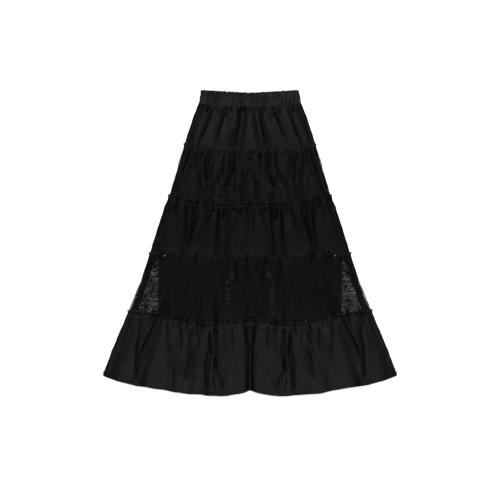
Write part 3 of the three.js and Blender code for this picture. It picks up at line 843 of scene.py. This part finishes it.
def grid_mesh(name, places, flat_size, flip=False):
    """A mesh from bmesh's grid, moved to places[row, column] in millimetres, with a map of its flat size."""
    rows, columns = places.shape[:2]
    shape = bmesh.new()
    bmesh.ops.create_grid(shape, x_segments=columns - 1, y_segments=rows - 1, size=1.0)
    if flip:
        bmesh.ops.reverse_faces(shape, faces=shape.faces)
    mesh = bpy.data.meshes.new(name)
    shape.to_mesh(mesh)
    shape.free()
    flat = read_field(mesh.vertices, "co", 3)
    column = np.rint((flat[:, X] + 1) / 2 * (columns - 1)).astype(int)
    row = np.rint((1 - flat[:, Y]) / 2 * (rows - 1)).astype(int)
    mesh.vertices.foreach_set("co", (places[row, column] * MM).ravel())
    corner = read_field(mesh.loops, "vertex_index", 1, int)[:, 0]
    uv = np.stack([column / (columns - 1) * flat_size[0], (1 - row / (rows - 1)) * flat_size[1]], axis=1)
    uv += BACK_CUT * flip
    layer = mesh.uv_layers.new(name=CLOTH_UV)
    layer.data.foreach_set("uv", uv[corner].ravel())
    mesh.shade_smooth()
    mesh.update()
    return mesh


def add_piece(mesh, material, slot, *nodes):
    """Puts a finished mesh in the scene, on the skirt's one body, in place of its solids."""
    piece = bpy.data.objects.new(mesh.name, mesh)
    bpy.context.scene.collection.objects.link(piece)
    mesh.materials.append(material)
    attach(piece, "root")
    if nodes:
        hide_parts(*nodes)
    return piece


# %% [markdown]
# ## Rows of a tier
# A tier has the same rows all round: the frill with its turned edge, the gathering stitches,
# the tier itself, and at the hem a fold with the cloth turned up inside. A row is a share of the
# way from the stitches to the foot, a distance up from there, and how deep it lies behind the
# face of the cloth.
# %% Lay out rows and columns
FRILL_WAVE = 1.7  # how far the free edge of a frill wanders
SIDE_BUMP = 2.0  # the frill stands out from the side by this much
SIDE_WANDER = 0.8  # the side edge of a tier wanders in and out by this much
HEM_WANDER = 0.9  # and the hem up and down by this much
EDGE_POWER = 25  # a share of the half width to this power is felt at the side edge alone
# the back of a lace tier lies inside the front's edge: from how far down, to how far down, by how much
BACK_INSET = {2: (196, 240, 5.0), 4: (575, 690, 7.0)}
NO_INSET = (0, 0, 0)
EDGE_OUT = {2: 2.2}  # and the front's edge stands out there by this much
ROWS_FINE = 14  # rows in the zone of short gathers
GATHER_ZONE = 0.16  # share of a tier that this zone takes


def tier_rows(tier, row_pitch):
    """The rows of a tier as (share of the way down, distance up, depth behind the face)."""
    rows = []
    if tier == 1:
        rows += [(0, 5, 0.6), (0, 2.5, 0.3)]
    else:
        rows += [(0, HEADING - 2.2, 0.55), (0, HEADING - 0.4, 0.35), (0, HEADING, 0)]
        rows += [(0, up, 0) for up in np.arange(HEADING - 0.9, 0.5, -0.9)]
    rows += [(share, 0, 0) for share in np.linspace(0, GATHER_ZONE, ROWS_FINE)]
    height = float(stitch_line(tier)(0.0) - FOOT[tier](0.0))
    rest = int(height * (1 - GATHER_ZONE) / row_pitch)
    rows += [(share, 0, 0) for share in np.linspace(GATHER_ZONE, 1, rest)[1:]]
    if tier == LOWEST:
        rows += [(1, 0.2, 0.35), (1, 1.2, 0.65), (1, HEM_TURN / 2, 0.7), (1, HEM_TURN, 0.7)]
    return rows


def on_line(share, line):
    """The point at a share of the half width where the skirt's outline meets a line across it."""
    y = np.full(share.shape, float(np.max(line(np.array([0.0])))))
    for _ in range(8):
        y = line(share * half_at(y))
    return y


def back_inset(tier, y):
    """How far the back of a lace tier lies inside the front's edge, so that one layer shows there."""
    start, end, inset = BACK_INSET.get(tier, NO_INSET)
    down = WAIST_Y - y
    return inset * smooth_step((down - start) / 20) * smooth_step((end - down) / 20)


def tier_places(tier, side, column_pitch, row_pitch):
    """Where each row and column of a tier's panel lies."""
    rows = tier_rows(tier, row_pitch)
    columns = int(2 * half_at(FOOT[tier](AT_SIDE)) / column_pitch)
    share = np.linspace(-1, 1, columns)
    at_edge = share ** EDGE_POWER
    stitches = on_line(share, stitch_line(tier))
    foot = on_line(share, FOOT[tier])
    places = np.empty((len(rows), columns, 3))
    for number, (down, up, depth) in enumerate(rows):
        y = stitches + (foot - stitches) * down
        inset = back_inset(tier, y)
        x = share * (half_at(y) - (inset if side < 0 else 0))
        if side > 0 and tier in EDGE_OUT:
            x = x + at_edge * EDGE_OUT[tier] * inset / BACK_INSET[tier][2]
        if down == 0:
            frill = up / HEADING
            y = y + up + frill * FRILL_WAVE * wander(x, 20 + tier + side, FRILL_WIDE)
            x = x + at_edge * SIDE_BUMP * frill * (tier > 1)
        else:
            x = x + at_edge * SIDE_WANDER * wander(y, 30 + tier, 34)
            y = y + up
        if tier == LOWEST:
            y = y + smooth_step((down - 0.8) / 0.2) * HEM_WANDER * wander(x, 35 + side, 55)
        places[number] = np.stack([x, y, surface(tier, side, x, y) - side * depth], axis=1)
    return places


# %% [markdown]
# ## Cut of the tiers
# Each tier is cut as one strip for the front and one for the back. What a strip measured before
# it was gathered is its width at the foot, where it lies nearly flat, and a share more for the
# folds. Its length is what shows, with the frill, the allowance and the hem.
# %% Build the ten tier panels
FULLNESS = 1.12  # cut width to the width at the foot
# the free edge of a frill, this wide, gets the painted highlight
EDGE_BAND = 2.6  # width of the overlocked edge of a frill
FRONT_PITCH = (1.6, 2.8)  # between columns and rows of the fronts
BACK_PITCH = (2.8, 4.5)
# the third and fourth tiers get darker, duller copies of their cloth: painted shade
CLOTH = {1: POPLIN, 2: NET, 3: SHADED_POPLIN, 4: SHADED_NET, 5: POPLIN}


def bind_frill(mesh, tier):
    """Gives the frill of a lace tier a closer cloth, and the free edge of any frill a lighter, shinier cloth:
    a painted highlight.
    """
    mesh.materials.append(HEADING_LACE if tier in LACE_TIERS else CLOTH[tier])
    mesh.materials.append(FRILL_EDGE_HIGHLIGHT)
    centres = read_field(mesh.polygons, "center", 3) / MM
    up = centres[:, Y] - stitch_line(tier)(centres[:, X])
    part = (up > 0.5).astype(int) + (up > HEADING - EDGE_BAND)
    mesh.polygons.foreach_set("material_index", part)


cuts = {}
for tier in TIERS:
    slot = "lace" if tier in LACE_TIERS else "poplin"
    width = 2 * float(half_at(FOOT[tier](AT_SIDE))) * FULLNESS * MM
    length = float(stitch_line(tier)(0.0) - FOOT[tier](0.0)) + HEADING + (HEM_TURN if tier == LOWEST else 0)
    cuts[tier] = (width, length * MM)
    for side, word in SIDES:
        name = f"tier_{tier}_{word}"
        places = tier_places(tier, side, *(FRONT_PITCH if side > 0 else BACK_PITCH))
        mesh = grid_mesh(name + "_cloth", places, cuts[tier], flip=side < 0)
        add_piece(mesh, CLOTH[tier], slot, name)
        if tier > 1:
            bind_frill(mesh, tier)
        print(name, places.shape[:2], "cut", [round(size, 3) for size in cuts[tier]], "m")

# %% [markdown]
# ## Lining
# The lining is a plain tube of thin cloth from the waist to just below the fourth seam. It lies
# flat between front and back with a few slack wrinkles.
# %% Build the lining
LINING_GRID = (120, 130)  # rows and columns
LINING_WRINKLE = 0.22  # height of its slack wrinkles
LINING_SLACK = 1.02  # cut width to the width that shows


def lining_places(word, seed):
    """The lining's front or back: rows across, from the band down to its own foot."""
    node = f"lining_{word}"
    rows, columns = LINING_GRID
    share = np.linspace(-1, 1, columns)
    top, foot = line_of(node, np.max), line_of(node, np.min)
    middle = (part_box(node)[0].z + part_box(node)[1].z) / 2 / MM
    places = np.empty((rows, columns, 3))
    for number, down in enumerate(np.linspace(0, 1, rows)):
        x = share * 200
        for _ in range(6):
            y = top(x) + (foot(x) - top(x)) * down
            x = share * lining_half(y)
        z = middle + LINING_WRINKLE * ripple(x, y, seed, 70, upright=3)
        places[number] = np.stack([x, y, z], axis=1)
    return places


for word, seed, flip in (("front", 81, False), ("back", 82, True)):
    size = 2 * LINING_HALF.max() * LINING_SLACK * MM, (LINING_Y[0] - LINING_Y[-1]) * MM
    mesh = grid_mesh(f"lining_{word}_cloth", lining_places(word, seed), size, flip=flip)
    lining = add_piece(mesh, LINING, "lining", f"lining_{word}")

# %% [markdown]
# ## Seam allowances of the lace
# The side seams of the lace tiers are overlocked, and their turned-in edges lie between front and
# back. They are the only close cloth there, so they show through the lace as a dark strip.
# %% Lay the allowances between front and back
ALLOWANCE_Z = 2.7  # height of the strips, between the back and the lining
# distance from the outline to the strip at its top and at its foot, and the strip's width
EDGE_STRIPS = {2: (3.5, 4.0, 25.0), 4: (2.5, 8.0, 20.0)}
CORNER_WIDE = 1.8  # the strip is this many times as wide where it meets the seam above
STRIP_SLACK = 1.03  # cut length to the length that shows
HANDS = ((-1, "left"), (1, "right"))


def strip_places(tier, hand):
    """A strip from the tier's stitches to its foot, hand -1 at the left side and 1 at the right."""
    top, foot, wide = EDGE_STRIPS[tier]
    share = np.linspace(0, 1, 60)[:, None]
    across = np.linspace(0, 1, 7)[None, :]
    edge_x = float(half_at(stitch_line(tier)(300.0)))
    seam_y = stitch_line(tier)(edge_x)
    y = seam_y - 2 + (FOOT[tier](AT_SIDE) - seam_y) * share + 0 * across
    inset = top + (foot - top) * smooth_step(share * 1.6 - 0.2) + 0.5 * wander(y, 94 + tier, 40)
    wide = wide * (1 + (CORNER_WIDE - 1) * (1 - smooth_step(share / 0.16)))
    x = hand * (half_at(y) - inset - wide * (across if hand > 0 else 1 - across))
    z = ALLOWANCE_Z + 0.25 * ripple(x, y, 96 + tier, 30)
    return np.stack([x, y, z], axis=2)


for tier in LACE_TIERS:
    for hand, word in HANDS:
        places = strip_places(tier, hand)
        size = (EDGE_STRIPS[tier][2] * MM, float(np.ptp(places[:, 0, Y])) * STRIP_SLACK * MM)
        strip = add_piece(grid_mesh(f"tier_{tier}_{word}_allowance", places, size), LACE_EDGE, "lace")

# %% [markdown]
# ## Small parts made once and set many times
# Motifs and stitches repeat by the hundred. Each kind is modelled once, as a master, from a circle
# or a ball of bmesh. Arrays of places then copy it into one joined mesh.
# %% Make masters and joined meshes
PETAL_CORNERS = 10
PETAL_POINTED = 0.35  # share of its width that a petal loses at its ends


def master_of(shape):
    """Points and faces of a finished bmesh, with its faces turned up."""
    shape.normal_update()
    if sum(face.normal.z for face in shape.faces) < -1:
        bmesh.ops.reverse_faces(shape, faces=shape.faces)
    points = np.array([vert.co for vert in shape.verts])
    faces = np.array([[vert.index for vert in face.verts] for face in shape.faces])
    shape.free()
    return points, faces


def petal(dome):
    """A domed petal along X, one long and one wide, with its root at the origin."""
    shape = bmesh.new()
    bmesh.ops.create_circle(shape, cap_ends=True, cap_tris=True, segments=PETAL_CORNERS, radius=1.0)
    for vert in shape.verts:
        vert.co.z = dome * (1 - vert.co.length_squared)
        vert.co.y *= 0.5 * (1 - PETAL_POINTED * vert.co.x ** 2)
        vert.co.x = (vert.co.x + 1) / 2
    return master_of(shape)


def stitch(length, width):
    """One sewing stitch, a slim ball along X."""
    shape = bmesh.new()
    bmesh.ops.create_icosphere(shape, subdivisions=1, radius=0.5)
    bmesh.ops.scale(shape, vec=(length, width, width * 0.8), verts=shape.verts)
    return master_of(shape)


def joined_mesh(name, points, faces, flip=False):
    """One mesh of many copies: points[copy, point] in millimetres, and the faces of one copy."""
    copies, size = points.shape[:2]
    all_faces = faces[None] + np.arange(copies)[:, None, None] * size
    if flip:
        all_faces = all_faces[:, :, ::-1]
    all_faces = all_faces.reshape(-1, faces.shape[1]).tolist()
    mesh = bpy.data.meshes.new(name)
    mesh.from_pydata((points.reshape(-1, 3) * MM).tolist(), [], all_faces)
    mesh.shade_smooth()
    mesh.update()
    return mesh


# %% [markdown]
# ## Motifs of the lace
# The lace carries sprays: a flower of six petals, four leaves round it, a stem with leaflets and
# a few single petals. They stand in columns, each second column dropped by half a repeat, and
# each spray strays a little from its place. Along a few lines small scallops take the place of
# the sprays, each a long bar with a short petal on either side. Their thread is made lighter and
# shinier, a painted highlight for the light they catch. All parts are petals of one master, made
# longer, wider or smaller.
# %% Chart one spray and the lines of scallops
SPRAY_SIZE = 0.75  # of the charted spray
SPRAY_GRID = {2: (19.0, 35.0), 4: (25.0, 42.0)}  # between columns, and between the sprays of a column
STRAY_X, STRAY_Y = 7, 11  # a spray strays by up to this much
CLEARING = 13  # and keeps this far from a line of scallops
# right and up from the flower's middle, turn in degrees, length, width
LEAVES = [
    (6.5, 6.5, 52, 12.0, 5.0), (-6.5, 6.5, 128, 12.0, 5.0), (6.5, -6.5, -52, 12.0, 5.0),
    (-6.5, -6.5, -128, 12.0, 5.0), (0, 9, 90, 14.0, 1.3), (0, -9, -90, 14.0, 1.3),
    (0, 13, 50, 7.5, 3.2), (0, 15, 128, 7.5, 3.2), (0, -13, -50, 7.5, 3.2), (0, -15, -128, 7.5, 3.2),
    (11.0, -1.5, 40, 3.0, 3.0), (-13.0, -1.5, 40, 3.0, 3.0), (-1.6, 1.5, -40, 4.0, 3.4),
    (16.0, 20.0, 60, 6.0, 2.6), (-16.0, 20.0, 120, 6.0, 2.6),
]
PETALS = [
    (1.8 * math.cos(math.radians(turn)), 1.8 * math.sin(math.radians(turn)), turn, 6.6, 5.0)
    for turn in range(15, 375, 60)
]
SPRAY = np.array(PETALS + LEAVES) * [SPRAY_SIZE, SPRAY_SIZE, 1, SPRAY_SIZE, SPRAY_SIZE]
SHELL_PITCH = 9.5
SHELL_FAN = [(0, 18.0, 4.2), (40, 9.0, 2.4), (-40, 9.0, 2.4)]  # turn, length and width
SHELL_SWING = (5, 13)  # how far to the side of the line a scallop begins
SHELL_STRAY = 2  # up or down
SHELL_SIZES = (0.6, 1.2)
SHELL_LEAN = 20  # degrees
# lines of scallops, as (across, down)
SHELL_LINES = {
    2: [[(96, 198), (95, 250)], [(111, 198), (110, 252)], [(86, 272), (100, 300), (116, 345)]],
    4: [[(60, 538), (57, 584)], [(70, 586), (71, 665), (69, 712)]],
}


def points_along(line, pitch):
    """Points at an even pitch along a line with corners."""
    line = np.array(line, dtype=float)
    lengths = np.hypot(*np.diff(line, axis=0).T)
    at = np.concatenate([[0], np.cumsum(lengths)])
    marks = np.arange(pitch / 2, at[-1], pitch)
    return np.stack([np.interp(marks, at, line[:, 0]), np.interp(marks, at, line[:, 1])], axis=1)


def shell_rows(tier):
    """Every petal of the scallops: x, y, turn, length, width. The scallops swing left and right."""
    rows = []
    draw = np.random.default_rng(84 + tier)
    for line in SHELL_LINES[tier]:
        for number, (across, down) in enumerate(points_along(line, SHELL_PITCH)):
            hand = 1 if number % 2 else -1
            x = across - hand * draw.uniform(*SHELL_SWING)
            y = WAIST_Y - down + draw.uniform(-SHELL_STRAY, SHELL_STRAY)
            size = draw.uniform(*SHELL_SIZES)
            lean = draw.uniform(-SHELL_LEAN, SHELL_LEAN)
            for turn, length, width in SHELL_FAN:
                way = turn - lean if hand > 0 else 180 + lean - turn
                rows.append((x, y, way, length * size, width))
                rows.append((-x, y, 180 - way, length * size, width))
    return np.array(rows)


def spray_rows(tier):
    """Every petal and leaf of the sprays that the tier has room for."""
    reach = float(half_at(FOOT[tier](AT_SIDE)))
    top, foot = float(TOP[tier](0.0)), float(FOOT[tier](AT_SIDE)) - 40
    apart, repeat = SPRAY_GRID[tier]
    columns = int(reach / apart) + 1
    draw = np.random.default_rng(88 + tier)
    rows = []
    for column in range(-columns, columns + 1):
        drop = repeat / 2 if column % 2 else 0
        for y in np.arange(top + drop, foot, -repeat):
            placed = SPRAY.copy()
            placed[:, X] += column * apart + draw.uniform(-STRAY_X, STRAY_X)
            placed[:, Y] += y + draw.uniform(-STRAY_Y, STRAY_Y)
            rows.append(placed)
    rows = np.concatenate(rows)
    for line in SHELL_LINES[tier]:
        for across, down in points_along(line, 6.0):
            gap = np.hypot(np.abs(rows[:, X]) - across, rows[:, Y] - WAIST_Y + down)
            rows = rows[gap > CLEARING]
    return rows


print("parts of one spray:", len(SPRAY))

# %% [markdown]
# ## Setting the motifs on the net
# The net is gathered at the top of the tier, so the sprays near the sides lean in with the
# outline. Each motif lies on the folds of its tier and stands a little off the net.
# %% Set the motifs
MOTIF_ROOM = 0.25  # between the net and a motif
LEAN_FROM = 150.0  # farther than this from the middle the motifs lean in with the outline
LEAST_Z = 0.05  # no motif on the back is lower
# the fourth tier's sprays take the duller copy of the thread: painted shade
SPRAY_THREAD = {2: MOTIF, 4: SHADED_MOTIF}
motifs = {}


def set_motifs(tier, side, rows, dome, name, material):
    """Copies the petal master to every row, bends the copies over the tier and joins them."""
    points, faces = petal(dome)
    turn = np.radians(rows[:, 2])[:, None]
    along = points[None, :, X] * rows[:, 3:4]
    aside = points[None, :, Y] * rows[:, 4:5]
    x = rows[:, 0:1] + np.cos(turn) * along - np.sin(turn) * aside
    y = rows[:, 1:2] + np.sin(turn) * along + np.cos(turn) * aside
    narrow = half_at(y) / half_at(FOOT[tier](AT_SIDE))
    x = x * (narrow + (1 - narrow) * np.exp(-(x / LEAN_FROM) ** 2))
    line = stitch_line(tier)(x)
    inside = half_at(y) - back_inset(tier, y) * (side < 0) - np.abs(x) > 2
    keep = (inside & (y < line - 2) & (y > FOOT[tier](x) + 3)).all(axis=1)
    x, y = x[keep], y[keep]
    z = np.maximum(surface(tier, side, x, y) + side * (MOTIF_ROOM + points[None, :, Z]), LEAST_Z)
    mesh = joined_mesh(name, np.stack([x, y, z], axis=2), faces, flip=side < 0)
    piece = add_piece(mesh, material, "lace")
    motifs.setdefault((tier, side), []).append(piece)
    print(name, len(x), "petals and leaves")


for tier in LACE_TIERS:
    for side, word in SIDES:
        set_motifs(tier, side, spray_rows(tier), 0.35, f"tier_{tier}_{word}_sprays", SPRAY_THREAD[tier])
        set_motifs(tier, side, shell_rows(tier), 0.8, f"tier_{tier}_{word}_scallops", SHELL)

# %% [markdown]
# ## Stitches
# Each tier is sewn on with a row of short stitches, right through the pleats, and the hem with
# another row. The stitches of a seam can be told apart only from near by.
# %% Sew the seams and the hem
STITCH_PITCH = 4.2
STITCH_LENGTH = 2.9
STITCH_WIDE = 0.75
SIDE_GAP = 5.0  # the row stops this far from the side seam
STITCH_RISE = {1: 0.35, -1: -0.05}  # from the cloth of the front and the back to a stitch's middle


def stitch_points(x, y, z):
    """Points of a stitch at each place, turned along the row."""
    points = stitch(STITCH_LENGTH, STITCH_WIDE)[0]
    way = np.stack([np.gradient(x), np.gradient(y), np.gradient(z)], axis=1)
    way /= np.linalg.norm(way, axis=1)[:, None]
    beside = np.cross([0.0, 0.0, 1.0], way)
    beside /= np.linalg.norm(beside, axis=1)[:, None]
    above = np.cross(way, beside)
    axes = np.stack([way, beside, above], axis=1)
    return np.stack([x, y, z], axis=1)[:, None, :] + points @ axes


def seam_row(tier, side, line):
    """Stitches along a line across a tier, lying on its outer face."""
    half = float(half_at(line(AT_SIDE))) - SIDE_GAP
    if tier == 4 and side < 0:
        half -= BACK_INSET[tier][2]  # the back of this tier is the narrower one
    x = np.arange(-half, half, STITCH_PITCH)
    y = line(x)
    return stitch_points(x, y, surface(tier, side, x, y) + STITCH_RISE[side])


def sewn(name, points):
    """A piece of many stitches."""
    mesh = joined_mesh(name, points, stitch(STITCH_LENGTH, STITCH_WIDE)[1])
    return add_piece(mesh, SEWING, "poplin")


def hem_line(x):
    """The stitches of the hem, just below the edge of the cloth turned up inside."""
    return FOOT[LOWEST](x) + HEM_TURN - 2


for tier in TIERS[1:]:
    for side, word in SIDES:
        rows = [seam_row(tier, side, stitch_line(tier))]
        if tier == LOWEST:
            rows.append(seam_row(tier, side, hem_line))
        piece = sewn(f"tier_{tier}_{word}_stitches", np.concatenate(rows))
        motifs.setdefault((tier, side), []).append(piece)

# %% [markdown]
# ## Side tacks
# At each side of the third seam one short tack of pale thread holds the heading down. It is
# the only thing on the skirt that isn't black.
# %% Sew the two tacks
TACK_ACROSS, TACK_DOWN = 264.0, 512.0
TACK_LENGTH, TACK_WIDE = 5.5, 1.8
TACK_TURN = 35.0  # degrees, the outer end lower
TACK_ROOM = 0.5  # from the cloth to the middle of the thread

tack_points, tack_faces = stitch(TACK_LENGTH, TACK_WIDE)
tacks = []
for hand, _ in HANDS:
    turn = math.radians(-TACK_TURN * hand)
    tack_x, tack_y = hand * TACK_ACROSS, WAIST_Y - TACK_DOWN
    x = tack_x + math.cos(turn) * tack_points[:, X] - math.sin(turn) * tack_points[:, Y]
    y = tack_y + math.sin(turn) * tack_points[:, X] + math.cos(turn) * tack_points[:, Y]
    middle = surface(4, 1, np.array([tack_x]), np.array([tack_y]))
    tacks.append(np.stack([x, y, middle + TACK_ROOM + tack_points[:, Z]], axis=1))
tack_mesh = joined_mesh("side_tacks", np.stack(tacks), tack_faces)
motifs[4, 1].append(add_piece(tack_mesh, TACK, "poplin"))

# %% [markdown]
# ## Waistband
# The band is a casing of poplin folded over wide elastic. The elastic draws the cloth into fine
# upright puckers. It is one closed ring with a wall: a grid wrapped twice, once round the waist
# and once round the wall, and then stitched to itself by merging its edges.
# %% Build the waistband
BAND_DEPTH = 42.0
BAND_WALL = 2.4  # casing, elastic and casing
BAND_COLUMNS = 620
BAND_CUT = (0.86, 0.105)  # metres: the whole casing, before it is folded double
PUCKER_PITCH = 9.0
PUCKER = 3.0  # height of a pucker
PUCKER_MEAN = 0.45  # of that height
TUNNEL = 0.12  # the elastic is held by a row of stitches this share of the way down
TUNNEL_STITCH = 0.5  # which draw the casing in by this much
BAND_SEAMS = (TUNNEL, 0.95)  # rows of stitches, each a share of the way down
BAND_STITCH_RISE = 0.25
RIM_ROUND = 0.3  # the folded upper edge of the casing falls away by this much
BAND_LEAST_Z = 0.15  # the puckers of the back are pressed flat here
BAND_LIFT = 1.5  # the band's front stands this much off its solid
band_low, band_high = (corner.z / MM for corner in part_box("waistband"))
band_high += BAND_LIFT
BAND_MIDDLE = (band_low + band_high) / 2
BAND_RADIUS = (band_high - band_low - BAND_WALL) / 2 - PUCKER * 0.4


def band_section():
    """Rows round the wall: (share of the way down the band, distance outwards in half walls)."""
    outer = [(down, 1.0) for down in np.linspace(0.02, 0.98, 31)]
    foot = [(1.0, 0.6), (1.0, 0.0), (1.0, -0.6)]
    inner = [(down, -1.0) for down in np.linspace(0.97, 0.03, 9)]
    top = [(0.0, -0.6), (-0.012, 0.0), (0.0, 0.6)]
    return outer + foot + inner + top + outer[:1]


def puckers(distance, down):
    """Uneven upright puckers round the band. They stray a little on the way down."""
    draw = np.random.default_rng(91)
    total = np.zeros(distance.shape)
    at = 0.0
    while at < distance.max():
        size = draw.uniform(0.55, 1.5)
        stray = draw.uniform(-2.0, 2.0) * (down - 0.5) + draw.uniform(-0.8, 0.8) * math.sin(down * 7 + at)
        rise = draw.uniform(0.5, 1.0) * (0.75 + 0.25 * math.sin(down * draw.uniform(3, 9) + at))
        total += rise * np.exp(-((distance - at - stray) / (PUCKER_PITCH * size * 0.32)) ** 2)
        at += PUCKER_PITCH * size
    return total - PUCKER_MEAN


def band_straight(down):
    """Half length of the band's flat stretch, a share of the way down."""
    return float(half_at(WAIST_Y - 2 - BAND_DEPTH * down)) - BAND_RADIUS - BAND_WALL / 2


def band_points(distance, down, out):
    """Points at distances round the band, a share of the way down, and `out` half walls outwards."""
    straight = band_straight(down)
    front = 2 * straight
    bend = math.pi * BAND_RADIUS
    angle = np.clip((distance - front) / BAND_RADIUS, 0, math.pi)
    angle = angle + np.clip((distance - 2 * front - bend) / BAND_RADIUS, 0, math.pi)
    x = -straight + np.clip(distance, 0, front) - np.clip(distance - front - bend, 0, front)
    relief = puckers(distance, down) * PUCKER * (1.0 if out > 0 else 0.5)
    relief *= 1 - 0.65 * abs(2 * down - 1) ** 6
    relief -= TUNNEL_STITCH * np.exp(-((down - TUNNEL) / 0.05) ** 2)
    relief -= RIM_ROUND * np.exp(-(down * BAND_DEPTH / 2.8) ** 2)
    outwards = BAND_RADIUS + out * BAND_WALL / 2 + relief * np.sign(out if out else 1)
    across = x + np.sin(angle) * outwards
    y = BAND_TOP(across) + (BAND_FOOT(across) - BAND_TOP(across)) * down
    y = y + 0.8 * wander(across, 93, 11) * ((down < 0.05) + (down > 0.96))
    height = BAND_MIDDLE + np.cos(angle) * outwards
    return np.stack([across, y, np.maximum(height, BAND_LEAST_Z)], axis=1)


def band_round(down):
    """Way round the band, a share of the way down."""
    return 2 * (2 * band_straight(down) + math.pi * BAND_RADIUS)


turn = np.linspace(0, 1, BAND_COLUMNS)
band_rows = [band_points(turn * band_round(down), down, out) for down, out in band_section()]
band_mesh = grid_mesh("waistband_casing", np.stack(band_rows), BAND_CUT)
wrapped = bmesh.new()
wrapped.from_mesh(band_mesh)
bmesh.ops.remove_doubles(wrapped, verts=wrapped.verts, dist=0.00002)
bmesh.ops.recalc_face_normals(wrapped, faces=wrapped.faces)
wrapped.to_mesh(band_mesh)
wrapped.free()
band = add_piece(band_mesh, BAND_POPLIN_LIT, "poplin", "waistband")
band_stitches = []
for down in BAND_SEAMS:
    front = 2 * band_straight(down)
    for start, rise in ((0, BAND_STITCH_RISE), (front + math.pi * BAND_RADIUS, STITCH_RISE[-1])):
        distance = start + np.arange(SIDE_GAP, front - SIDE_GAP, STITCH_PITCH)
        x, y, z = band_points(distance, down, 1.0).T
        band_stitches.append(stitch_points(x, y, z + rise))
band_sewing = sewn("waistband_stitches", np.concatenate(band_stitches))
print("waistband faces:", len(band_mesh.polygons))

# %% [markdown]
# ## Floor, light and camera
# The skirt lies on a plain white surface. Two soft boxes hang over the waist and two over the
# hem, a weak one stands low at each side, and the room adds a little light from all round.
# The camera looks straight down, from far enough to see the skirt almost without perspective.
# %% Set the stage
VIEW_WIDTH = 1.55  # metres across the picture
LENS = 85.0
SENSOR = 36.0
CAMERA_HEIGHT = VIEW_WIDTH * LENS / SENSOR
CAMERA_Y = -0.0208  # the skirt lies this far above the middle of the picture
ROOM_LIGHT = 0.06
# place and target on the right-hand side, size in metres and power in watts
SOFT_BOXES = {
    "waist soft box": ((0.6, 1.05, 2.9), (0.0, 0.1, 0.0), 0.8, 43),
    "hem soft box": ((0.5, -1.15, 2.9), (0.0, -0.1, 0.0), 0.8, 35),
    "soft box": ((1.1, 0.0, 0.65), (0.25, 0.0, 0.0), 0.6, 6),
}


def add_floor():
    """A wide white board under the skirt."""
    shape = bmesh.new()
    bmesh.ops.create_grid(shape, x_segments=1, y_segments=1, size=6.0)
    mesh = bpy.data.meshes.new("floor")
    shape.to_mesh(mesh)
    shape.free()
    material, tree = new_material("Matt white board")
    finish_material(tree, {"Base Color": linear("#fafafa"), "Roughness": 0.9, "Specular IOR Level": 0.1})
    mesh.materials.append(material)
    floor = bpy.data.objects.new("floor", mesh)
    bpy.context.scene.collection.objects.link(floor)


def add_softbox(name, place, target, size, power):
    """A square soft box at a place, turned to a target. The camera doesn't see the box itself."""
    light = bpy.data.lights.new(name, "AREA")
    light.size = size
    light.energy = power
    lamp = bpy.data.objects.new(name, light)
    lamp.location = place
    lamp.rotation_mode = "QUATERNION"
    lamp.rotation_quaternion = (place - target).to_track_quat("Z", "Y")
    lamp.visible_camera = False
    bpy.context.scene.collection.objects.link(lamp)


def add_camera():
    """A camera over the middle of the view, looking straight down."""
    data = bpy.data.cameras.new("camera")
    data.lens = LENS
    data.sensor_width = SENSOR
    camera = bpy.data.objects.new("camera", data)
    camera.location = (0.0, CAMERA_Y, CAMERA_HEIGHT)
    bpy.context.scene.collection.objects.link(camera)
    bpy.context.scene.camera = camera


add_floor()
for hand, side_word in HANDS:
    mirror = Vector((hand, 1, 1))
    for word, (place, target, size, power) in SOFT_BOXES.items():
        add_softbox(f"{side_word} {word}", mirror * Vector(place), mirror * Vector(target), size, power)
add_camera()
world = bpy.data.worlds.new("soft room light")
world.use_nodes = True
background = world.node_tree.nodes["Background"]
background.inputs["Color"].default_value = (1, 1, 1, 1)
background.inputs["Strength"].default_value = ROOM_LIGHT
bpy.context.scene.world = world
bpy.context.scene.view_settings.view_transform = "Standard"
